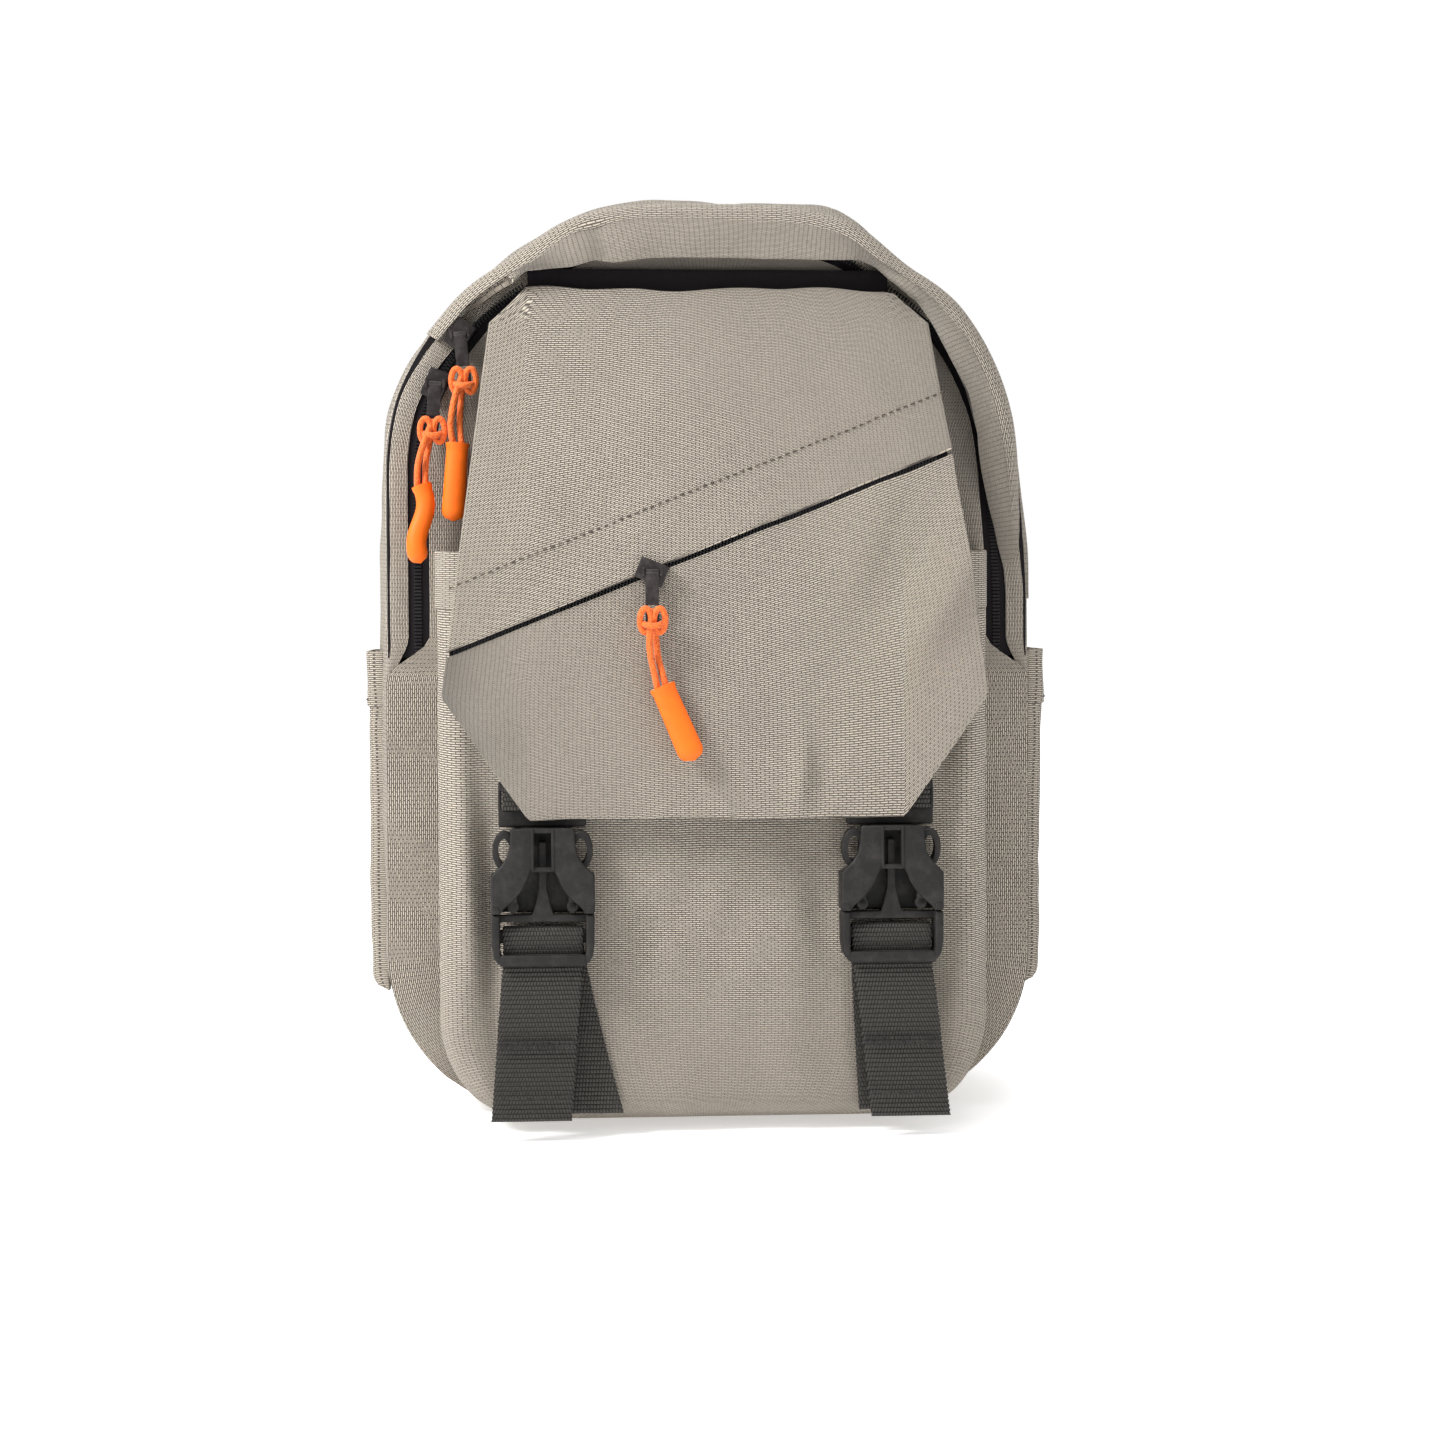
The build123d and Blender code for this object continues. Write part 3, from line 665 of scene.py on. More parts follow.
def outline(run, inset=0.0):
    """(x, z) on the main outline, run mm clockwise from the middle of its foot, moved inwards."""
    run %= outline_run
    side = -1.0
    if run > outline_run / 2:
        run, side = outline_run - run, 1.0
    if run < foot_half:
        return side * run, inset
    run -= foot_half
    if run < corner_run:
        turn = run / corner
        reach = corner - inset
        return side * (foot_half + reach * sin(turn)), corner - reach * cos(turn)
    run -= corner_run
    if run < side_run:
        return side * (half_width - inset), corner + run
    run -= side_run
    if run < arch_run:
        turn = run / arch_run * pi / 2
        across = half_width - crown_half - inset
        rise = height - arch_start - inset
        return side * (crown_half + across * cos(turn)), arch_start + rise * sin(turn)
    return side * max(0.0, crown_half - (run - arch_run)), height - inset


def run_at(z, side=-1):
    """How far along the outline it reaches a height on one side, above the bottom corner."""
    if z <= arch_start:
        run = foot_half + corner_run + (z - corner)
    else:
        turn = asin(min(1.0, (z - arch_start) / (height - arch_start)))
        run = foot_half + corner_run + side_run + turn / (pi / 2) * arch_run
    return run if side < 0 else outline_run - run


def slump(x, z):
    """How far the arch has sagged: a flat left shoulder, a narrower right side."""
    left = 5.5 * ease((-x - 48) / 40) * ease((z - 270) / 45)
    right = 7.0 * ease((x - 52) / 34) * ease((z - 196) / 70)
    return left + right


def front_slump(x, z):
    """The same at the front edge, which has sagged at the crown as well."""
    return slump(x, z) + 5.0 * ease((z - 312) / 34)


def back_slump(x, z):
    """The same at the back seam, where the left shoulder is drawn in furthest."""
    return slump(x, z) + 9.0 * exp(-(((x + 68) / 30) ** 2)) * ease((z - 276) / 34)


turned_from = 0.88  # share of the gusset's cloth before it turns in over the zip tape


def gusset_skin(u, v):
    """The gusset, round the bag by u; by v from the back seam to its edge, turned in at the front."""
    run = u * outline_run
    x, z = outline(run)
    wide_x, wide_z = outline(run, -1.0)
    deep = min(1.0, v / turned_from)
    free = ease((z - 14) / 40) * sin(pi * deep) ** 0.8
    swell = 3.4 * free
    swell += free * 3.0 * wobble(run, deep * 70, 46, 0.3)
    swell += free * 1.2 * wobble(run, deep * 30, 17, 1.7)
    if z > 300:
        swell += fold(x, deep * 70, (20, 48), (78, 20), 9, 3.4)
        swell -= fold(x, deep * 70, (30, 34), (84, 8), 8, 3.6)
        swell += 1.5 * free * wobble(x, deep * 60, 22, 2.9)
    swell -= between(slump(x, z), front_slump(x, z), deep**1.4)
    swell -= (back_slump(x, z) - slump(x, z)) * (1 - ease(deep / 0.5))
    inset, away = 0.0, 0.0
    if v > turned_from:
        share = (v - turned_from) / (1 - turned_from)
        zipped = ease((z - zip_low + 8) / 16)
        inset = share * between(3.2, 8.8, zipped)
        away = 2.4 * sin(pi / 2 * min(1.0, share * 2.2)) + 0.5 * zipped * wobble(run, share * 5, 14, 2.2)
    x += (wide_x - x) * (swell - inset)
    z += (wide_z - z) * (swell - inset)
    back = (back_seam - 0.4) * MM
    front = at_height(x, away, z).y
    return Vector((x * MM, between(back, front, deep), max(0.0, z) * MM))


gusset = cloth("gusset_shell", 420, 34, gusset_skin, 2.0, True, (1.079, 0.088), wrapped=True)
paint(gusset, greige, None, "base_panel", "left_side_gusset", "right_side_gusset", "hood_top_gusset")
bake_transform(gusset)


def panel_edge_inset(z):
    return 16.6 * ease((z - zip_low + 8) / 16)


def panel_skin(u, v):
    """The front panel, round its edge by u and in to its middle by v."""
    run = u * outline_run
    x, z = outline(run, 0.4)
    edge_x, edge_z = outline(run, 0.4 + panel_edge_inset(z) + 0.5 * front_slump(x, z))
    mid_z = max(70.0, min(290.0, edge_z))
    x, z = between(edge_x, 0.0, v), between(edge_z, mid_z, v)
    away = 3.2 + 1.1 * sin(pi * min(1, v * 3) / 2) + 0.5 * wobble(x, z, 30, 4.0)
    if abs(x) > pocket_half - 4:
        away += 1.6 * wobble(x * 1.5, z, 34, 5.0) + 0.8
    return at_height(x, away, z)


panel = cloth("front_wall", 300, 24, panel_skin, 2.6, True, (1.0, 0.12), wrapped=True)
paint(panel, greige, "root", "front_panel")


def whole_line(inset, away, start_run, end_run, steps):
    spots = []
    for n in range(steps + 1):
        run = between(start_run, end_run, n / steps)
        x, z = outline(run)
        x, z = outline(run, inset + front_slump(x, z) * 0.5)
        spots.append(at_height(x, away, z))
    return spots


# binding over the back seam
back_line = []
for n in range(301):
    run = n / 300 * outline_run
    x, z = outline(run, 1.8 + back_slump(*outline(run)))
    back_line.append(Vector((x * MM, (back_seam - 0.8) * MM, max(1.6, z) * MM)))
paint(tube("back_binding", back_line, [(1.6, 1.3)] * len(back_line), 8, Vector((0, 1, 0))), tape, "root")


# ------------------------------------------------------------------ main zip
zip_from, zip_to = run_at(zip_low, -1), run_at(zip_low, 1)
zip_run = zip_to - zip_from


def tape_skin(inner, outer, away):
    def skin(u, v):
        run = zip_from + u * zip_run
        x, z = outline(run)
        x, z = outline(run, between(outer, inner, v) + front_slump(x, z) * 0.5)
        return at_height(x, away - 0.5 * sin(pi * v), z)
    return skin


outer_tape = cloth("outer_zip_tape", 260, 5, tape_skin(11.5, 0.8, 1.0), 0.8, True, (0.511, 0.011))
paint(outer_tape, tape, None, "side_zip_tapes", "hood_zip_tape")
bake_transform(outer_tape)
inner_tape = cloth("inner_zip_tape", 260, 5, tape_skin(23.5, 13.6, 1.2), 0.8, True, (0.48, 0.011))
paint(inner_tape, tape, "root", "front_zip_tape")
coil_bed = cloth("coil_bed", 260, 2, tape_skin(14.2, 11.1, 1.3), 0.9, True, (0.5, 0.003))
paint(coil_bed, tape, "root", "main_zip_coil")
for row, inset in enumerate((12.0, 13.3)):
    line = whole_line(inset, 1.9, zip_from, zip_to, 400)
    zip_teeth(f"main_zip_teeth_{row + 1}", line, lambda spot: out_axis, "root", 1.7)


# ------------------------------------------------------------------ hood band over the zip
lower_edge = [(-107, 301), (-98, 307), (-90, 312), (-80, 319), (-70, 323.5), (-52, 325.5), (-44, 328),
    (-37, 327),
              (-22, 329), (0, 329), (30, 328.5), (58, 328.5), (68, 326), (78, 321), (87, 314), (93, 305),
              (99, 294),
              (106, 279), (111, 262), (113.5, 240), (115.5, 218), (117.5, 200)]
edge_runs = [0.0]
for (x0, z0), (x1, z1) in zip(lower_edge, lower_edge[1:]):
    edge_runs.append(edge_runs[-1] + hypot(x1 - x0, z1 - z0))
band_from, band_to = run_at(hood_split + 1, -1), run_at(198, 1)


def low_edge_at(share):
    run = share * edge_runs[-1]
    return (
        lookup([(r, p[0]) for r, p in zip(edge_runs, lower_edge)], run),
        lookup([(r, p[1]) for r, p in zip(edge_runs, lower_edge)], run),
    )


def band_skin(u, v):
    """The hood's band, along the arch by u, from the gusset seam to its lower edge by v."""
    run = between(band_from, band_to, u)
    top_x, top_z = outline(run)
    drop = front_slump(top_x, top_z)
    low_x, low_z = low_edge_at(u)
    low_x -= slump(top_x, top_z) * ease(low_x / 90)
    flat = ease((u - 0.8) / 0.2)
    depth = between(2.2, 10.5, ease(u / 0.14) * ease((1 - u) / 0.42)) - 3.4 * flat
    puff = 4.0 * (1 - flat)
    if v < 0.3:
        share = v / 0.3
        seam = gusset_skin(run / outline_run, turned_from) / MM  # sewn to the gusset's own edge
        wide_x, wide_z = outline(run, -0.8 * (1 - flat))
        seam_x, seam_z = seam.x + wide_x - top_x, seam.z + wide_z - top_z
        x, z = outline(run, drop - 0.6 + 5.0 * flat)
        x, z = between(seam_x, x, ease(share)), between(seam_z, z, ease(share))
        return at_height(x, between(-1.5, depth, share), z)
    if v < 0.5:
        turn = (v - 0.3) / 0.2 * pi / 2
        x, z = outline(run, drop - 0.6 + 5.0 * flat + 4.6 * (1 - flat) * (1 - cos(turn)))
        return at_height(x, depth + puff * sin(turn), z)
    share = (v - 0.5) / 0.5
    from_x, from_z = outline(run, drop + 4.0 + 0.6 * flat)
    x, z = between(from_x, low_x, share), between(from_z, low_z, share)
    away = depth + puff + 1.4 * sin(pi * share) * (0.4 + wobble(x, z, 26, 3.3)) + 0.9 * wobble(x, z, 13,
        6.0) * share
    away += fold(x, z, (-46, 342), (-38, 327), 5, -1.6) + fold(x, z, (62, 345), (80, 322), 6, 2.2)
    return at_height(x, away, z)


band = cloth("hood_edge_band", 340, 34, band_skin, 2.2, True, (0.29, 0.045), 0.7)
paint(band, greige, None, "hood_band")
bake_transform(band)
seam_line = [band_skin(n / 200, 0.42) + Vector((0, -0.0002, 0.0002)) for n in range(4, 150)]
stitches("hood_seam_stitches", seam_line, lambda spot: Vector((spot.x * 4, -0.1, 1)).normalized(), "hood",
    3.2, 1.9)


# ------------------------------------------------------------------ front pocket
def pocket_half_at(z):
    if z >= pocket_corner:
        return pocket_half
    return pocket_half - pocket_corner + sqrt(max(0.0, pocket_corner**2 - (pocket_corner - z) ** 2))


def pocket_dents(x, z):
    near_top = ease((z - 120) / 80)
    lift = 2.6 * wobble(x, z, 58, 7.0) + 1.5 * wobble(x * 1.6, z, 27, 8.0) + 0.5 * wobble(x, z, 12, 9.0)
    lift += fold(x, z, (100, 180), (92, 96), 5, 3.2) + fold(x, z, (88, 200), (84, 120), 4.5, -3.2)
    lift += fold(x, z, (-97, 150), (-91, 60), 5, 3.4) + fold(x, z, (-86, 130), (-82, 30), 5, -3.4)
    lift += fold(x, z, (36, 118), (42, 60), 7, -2.4) + fold(x, z, (98, 90), (90, 36), 6, 2.8)
    lift += fold(x, z, (0, 92), (-36, 74), 9, -1.6) + fold(x, z, (92, 44), (104, 20), 5, -2.6)
    return lift * (1 - 0.5 * near_top)


def pocket_skin(u, v):
    """The front pocket, from its left wall round its face to its right wall by u, up by v."""
    z = pocket_top * v**1.25
    half = pocket_half_at(z)
    lip = 12.0
    deep = pocket_out - panel_out
    foot = min(1.0, z / 15.0)
    deep *= sqrt(max(0.0, 1 - (1 - foot) ** 2)) * 0.96 + 0.04
    lip = min(lip, deep * 0.8, half * 0.5)
    side = -1.0 if u < 0.5 else 1.0
    share = 1 - abs(2 * u - 1)  # 0 at the wall's back edge, 1 at the middle
    wall, roll = 0.16, 0.10
    if share < wall:
        x, away = half, (deep - lip) * share / wall
        x += 1.0 * sin(pi * share / wall) * wobble(z, share * 40, 24, 9.0 + side)
    elif share < wall + roll:
        turn = (share - wall) / roll * pi / 2
        x, away = half - lip * (1 - cos(turn)), deep - lip + lip * sin(turn)
    else:
        x, away = (half - lip) * (1 - (share - wall - roll) / (1 - wall - roll)), deep
    face = ease((share - wall * 0.8) / 0.12)
    away += face * foot * (pocket_dents(side * x, z) + 1.5 * (1 - (x / half) ** 2))
    return at_height(side * x, panel_out + max(0.0, away - 0.6), max(0.0, z))


pocket = cloth("front_pocket_shell", 220, 100, pocket_skin, 2.0, True, (0.29, 0.21), 0.6)
paint(pocket, greige, "root", "front_pocket_gusset", "front_pocket_panel")


def hem_skin(u, v):
    z = between(pocket_top - 21, pocket_top + 0.6, v)
    spot = pocket_skin(u, (min(z, pocket_top) / pocket_top) ** 0.8)
    spot.z += max(0.0, z - pocket_top) * MM
    outwards = Vector((1.0 if u > 0.5 else -1.0, 0, 0)) if abs(2 * u - 1) > 0.84 else out_axis
    return spot + outwards * (1.0 * MM)


hem = cloth("front_pocket_hem_band", 200, 8, hem_skin, 1.0, True, (0.29, 0.021), 0.4)
paint(hem, greige, "root", "front_pocket_hem")
stitches("front_pocket_hem_stitches",
    [hem_skin(n / 120, 0.08) + out_axis * 0.0003 for n in range(18, 103)], lambda spot: out_axis, "root")


# ------------------------------------------------------------------ side pockets
def side_pocket(side, name):
    """A flat pocket on one side: two gathered corners at its foot and a turned hem on top."""
    y_back, y_front, z_low, z_top = 33.6, -23.6, 44.4, 177.6

    def skin(u, v, more=0.0):
        y = between(y_back, y_front, u)
        z = between(z_low, z_top, v)
        rise_u = sqrt(max(0.0, 1 - (1 - min(1.0, min(u, 1 - u) / 0.09)) ** 2))
        rise_v = sqrt(max(0.0, 1 - (1 - min(1.0, v / 0.05)) ** 2))
        bulge = 7.0 * rise_u * rise_v
        bulge += rise_u * rise_v * (0.9 * wobble(y, z, 30, 11 + side) + 0.5 * wobble(y, z, 12, 12 + side))
        slant = 2.6 * (1 - u) * v  # the hem runs a little lower at the back
        return Vector(((side * (half_width + 0.6 + bulge + more)) * MM, y * MM, (z - slant) * MM))

    size = (0.072, 0.134)
    shell = cloth(f"{name}_pocket_shell", 46, 70, skin, 1.5, side < 0, size, 0.5)
    paint(shell, greige, "root", f"{name}_side_pocket")
    band_low = 1 - 21 / 133
    hem_band = cloth(
        f"{name}_pocket_hem_band", 46, 8, lambda u, v: skin(u, between(band_low, 1.004, v), 0.9), 0.9,
        side < 0,
        (0.072, 0.021), 0.3,
    )
    paint(hem_band, greige, "root", f"{name}_side_pocket_hem")
    row = [skin(n / 40, band_low + 0.02, 1.2) for n in range(2, 39)]
    stitches(f"{name}_pocket_hem_stitches", row, lambda spot: Vector((side, 0, 0)), "root")


side_pocket(-1, "left")
side_pocket(1, "right")


# ------------------------------------------------------------------ flap
def flap_profile_out(up):
    if up > flap_bend[0]:
        share = (flap_hinge[0] - up) / (flap_hinge[0] - flap_bend[0])
        return between(flap_hinge[1], flap_bend[1], share)
    share = (flap_bend[0] - up) / (flap_bend[0] - flap_foot[0])
    return between(flap_bend[1], flap_foot[1], share)


def flap_out(up):
    """How far out the flap's middle surface is, its bend rounded off."""
    if up < 300:
        return (flap_profile_out(up - 14) + flap_profile_out(up) + flap_profile_out(up + 14)) / 3
    return flap_profile_out(up)


flap_sides = [(116, 70), (161, 102), (304, 84), (318, 70)]


def flap_half(up):
    return lookup(flap_sides, up)


def flap_dents(x, up):
    lift = 2.6 * wobble(x, up, 60, 14.0) + 1.3 * wobble(x, up, 28, 15.0) + 0.4 * wobble(x, up, 12, 13.0)
    lift += fold(x, up, (80, 236), (60, 190), 9, -5.0) + fold(x, up, (98, 216), (74, 176), 7, 4.2)
    lift += fold(x, up, (34, 146), (30, 118), 4, 3.2) + fold(x, up, (41, 168), (37, 122), 5, -2.8)
    lift += fold(x, up, (-58, 226), (-20, 246), 9, -1.6) + fold(x, up, (48, 296), (70, 262), 9, 1.8)
    lift += fold(x, up, (-100, 168), (-72, 140), 8, 1.4) + fold(x, up, (-20, 312), (10, 300), 8, 1.6)
    return lift


def flap_normal(up):
    run = 4.0
    rise = flap_out(up - run) - flap_out(up + run)
    tilt = atan2(rise, 2 * run)
    return (local(0, cos(tilt), sin(tilt)) - local(0, 0, 0)).normalized()


def flap_point(x, up, lift=0.0):
    share = 1.0 if up < 296 else max(0.25, (318 - up) / 22)
    lift += 1.6 + max(-1.5, flap_dents(x, up)) * share * 0.8 + 0.6
    return local(x, flap_out(up), up) + flap_normal(up) * (lift * MM)


def slit_up(x, offset=0.0):
    return slit_low[1] + (x - slit_low[0]) * slit_slope + offset * sqrt(1 + slit_slope**2)


def upper_skin(u, v):
    up = 260.0
    for _ in range(5):
        x = (2 * u - 1) * flap_half(up)
        top = flap_hinge[0] - max(0.0, abs(x) - 70) - 1.2 + 2.2 * wobble(x, 0, 26, 19.0)
        up = between(slit_up(x, 0.6), top, v)
    edge = min(1.0, abs(up - slit_up(x)) / 12)
    return flap_point(x, up, 1.3 * (1 - edge))


def flap_bottom(x):
    return flap_foot[0] + max(0.0, abs(x) - 70) * 45 / 32


def lower_skin(u, v):
    up = 160.0
    for _ in range(6):
        x = (2 * u - 1) * (flap_half(max(161.0, up)) if v > 0.02 else 101.5)
        up = between(flap_bottom(x), max(flap_bottom(x), slit_up(x, -1.3)), v)
    sag = 1.0 * wobble(x, 0, 30, 16.0) * (1 - v)
    return flap_point(x, up + sag, -0.2)


upper = cloth("flap_upper_cloth", 110, 64, upper_skin, 2.2, True, (0.19, 0.11), 0.6)
paint(upper, greige, "flap", "flap_upper_panel")
lower = cloth("flap_lower_cloth", 120, 60, lower_skin, 2.2, True, (0.2, 0.1), 0.6)
paint(lower, greige, "flap", "flap_lower_panel")


def lining_skin(u, v):
    up = between(flap_foot[0] + 1.5, flap_hinge[0] - 1, v)
    half = flap_half(up) - 1.5
    return flap_point((2 * u - 1) * half, up, -2.9)


paint(cloth("flap_lining_cloth", 60, 60, lining_skin, 0.5, True, (0.2, 0.2)), lining, "flap", "flap_lining")


def slit_point(x, offset, lift):
    up = slit_up(x, offset)
    return flap_point(x, up, lift)


def slit_strip(name, low, high, lift, finish, *nodes):
    skin = lambda u, v: slit_point(between(-99, 87, u), between(low, high, v), lift)
    return paint(cloth(name, 120, 4, skin, 0.5, True, (0.2, 0.008)), finish, "flap", *nodes)


slit_strip("flap_tape_cloth", -4.5, 4.5, -2.0, tape, "flap_zip_tape")
slit_strip("flap_coil_bed", -1.5, 1.2, -1.4, tape, "flap_zip_coil")
for row, offset in enumerate((-1.0, 0.3)):
    line = [slit_point(between(-97, 85, n / 150), offset, -0.9) for n in range(151)]
    zip_teeth(f"flap_zip_teeth_{row + 1}", line, lambda spot: out_axis, "flap", 1.6)
placket = [slit_point(between(-98, 88, n / 180), 22.0, 0.35) for n in range(181)]
stitches("flap_placket_stitches", placket, lambda spot: out_axis, "flap", 3.1, 1.8)


def binding_skin(u, v):
    up = between(310.5, 325.5, v)
    return local((2 * u - 1) * 69.5, 6.4 + 0.4 * sin(pi * v), up)


paint(cloth("flap_top_tape", 60, 6, binding_skin, 1.8, True, (0.14, 0.016), 0.4), tape, "root",
    "flap_top_binding")


# ------------------------------------------------------------------ webbing
rib_pitch = 1.7


def ribbed(name, path, body, half=webbing_half, thick=web_thick, *nodes):
    """Webbing along a path of (point, across, outward): ribs of weft across its width."""
    runs = [0.0]
    for (a, _, _), (b, _, _) in zip(path, path[1:]):
        runs.append(runs[-1] + (b - a).length / MM)
    total = runs[-1]
    rows = max(8, round(total / rib_pitch) * 4)

    def skin(u, v):
        run = v * total
        n = 0
        while n < len(runs) - 2 and runs[n + 1] < run:
            n += 1
        share = (run - runs[n]) / (runs[n + 1] - runs[n])
        (a, across_a, up_a), (b, across_b, up_b) = path[n], path[n + 1]
        spot = a.lerp(b, share)
        across = across_a.lerp(across_b, share)
        facing = up_a.lerp(up_b, share).normalized()
        rib = 0.22 * sin(2 * pi * run / rib_pitch)
        cup = 0.25 * (1 - (2 * u - 1) ** 2)
        edge = 1 - 0.02 * (1 + sin(2 * pi * run / rib_pitch))
        return spot + across * ((2 * u - 1) * half * edge * MM) + facing * ((rib + cup) * MM)

    piece = cloth(name, 14, rows, skin, thick, False, (2 * half * MM, total * MM), 0.25)
    close_up(piece)
    smooth(piece, 60)
    return paint(piece, webbing, body, *nodes)


across_x = Vector((1, 0, 0))


def front_strap(side, x, tail_lean, hidden_lean):
    """The webbing that runs up from the bottom seam, over the ladder bar and down as a tail."""
    face = out_axis

    def spot(dx, away, up):
        return local(x + dx, away, up)

    path = []
    for n in range(11):  # behind the buckle, up from the bottom seam
        share = n / 10
        dx = hidden_lean * (1 - share) ** 1.2
        path.append((spot(dx, 40.6, between(5.5, 70.0, share)), across_x, -face))
    for n in range(9):  # over the bar
        turn = pi * n / 8
        side_out = (-face) * cos(turn) + Vector((0, 0.07, 1)).normalized() * sin(turn)
        path.append((spot(0, 44.6 - 3.4 * cos(turn), 73.0 + 3.4 * sin(turn)), across_x, side_out))
    for up, away, share in ((70, 48.0, 0), (67, 47.4, 0), (63, 47.0, 0.02), (58, 48.0, 0.1), (50, 48.8, 0.25),
                            (40, 48.9, 0.42), (28, 48.4, 0.6), (16, 48.2, 0.8), (4.2, 48.6, 1.0)):
        path.append((spot(tail_lean * share, away, up), across_x, face))
    piece = ribbed(f"{side}_strap_webbing", path, "root", webbing_half, 1.1, f"{side}_front_webbing")
    tuple(spot(0, 48, 4.0))
    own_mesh(piece)
    tacks = []
    for up, rows in ((31.5, 3), (13.0, 1)):
        for n in range(rows):
            share = lookup([(4, 1.0), (16, 0.8), (28, 0.6), (40, 0.42)], up + n * 1.1)
            middle = tail_lean * share
            ends = [spot(middle + dx, 50.6, up + n * 1.1) for dx in (-13.5, 13.5)]
            tacks += along_line(ends, 1.9, lambda spot: face)
    row = paint(copies(f"{side}_strap_tacks", bead(1.6, 0.8, 0.8), tacks), black_thread, "root")
    tuple(spot(0, 48, 4.0))
    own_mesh(row)
    path = [(flap_point(x, up, -4.4), across_x, -flap_normal(up)) for up in (119, 122, 126, 132, 140, 150,
        158)]
    ribbed(f"{side}_flap_webbing", path, "flap", webbing_half, 1.0, f"{side}_socket_webbing")


front_strap("left", -buckle_across, -4.6, 15.0)
front_strap("right", buckle_across, 7.0, 3.0)


# ------------------------------------------------------------------ side-release buckles
def mirrored(half_points):
    """A closed outline from its right half, listed from its foot to its top."""
    return half_points + [(-x, up) for x, up in reversed(half_points)]


def shifted_plate(name, outline_points, x, low, high, rounding=0.5, segments=3):
    return plate(name, [(x + dx, up) for dx, up in outline_points], low, high, rounding, segments)


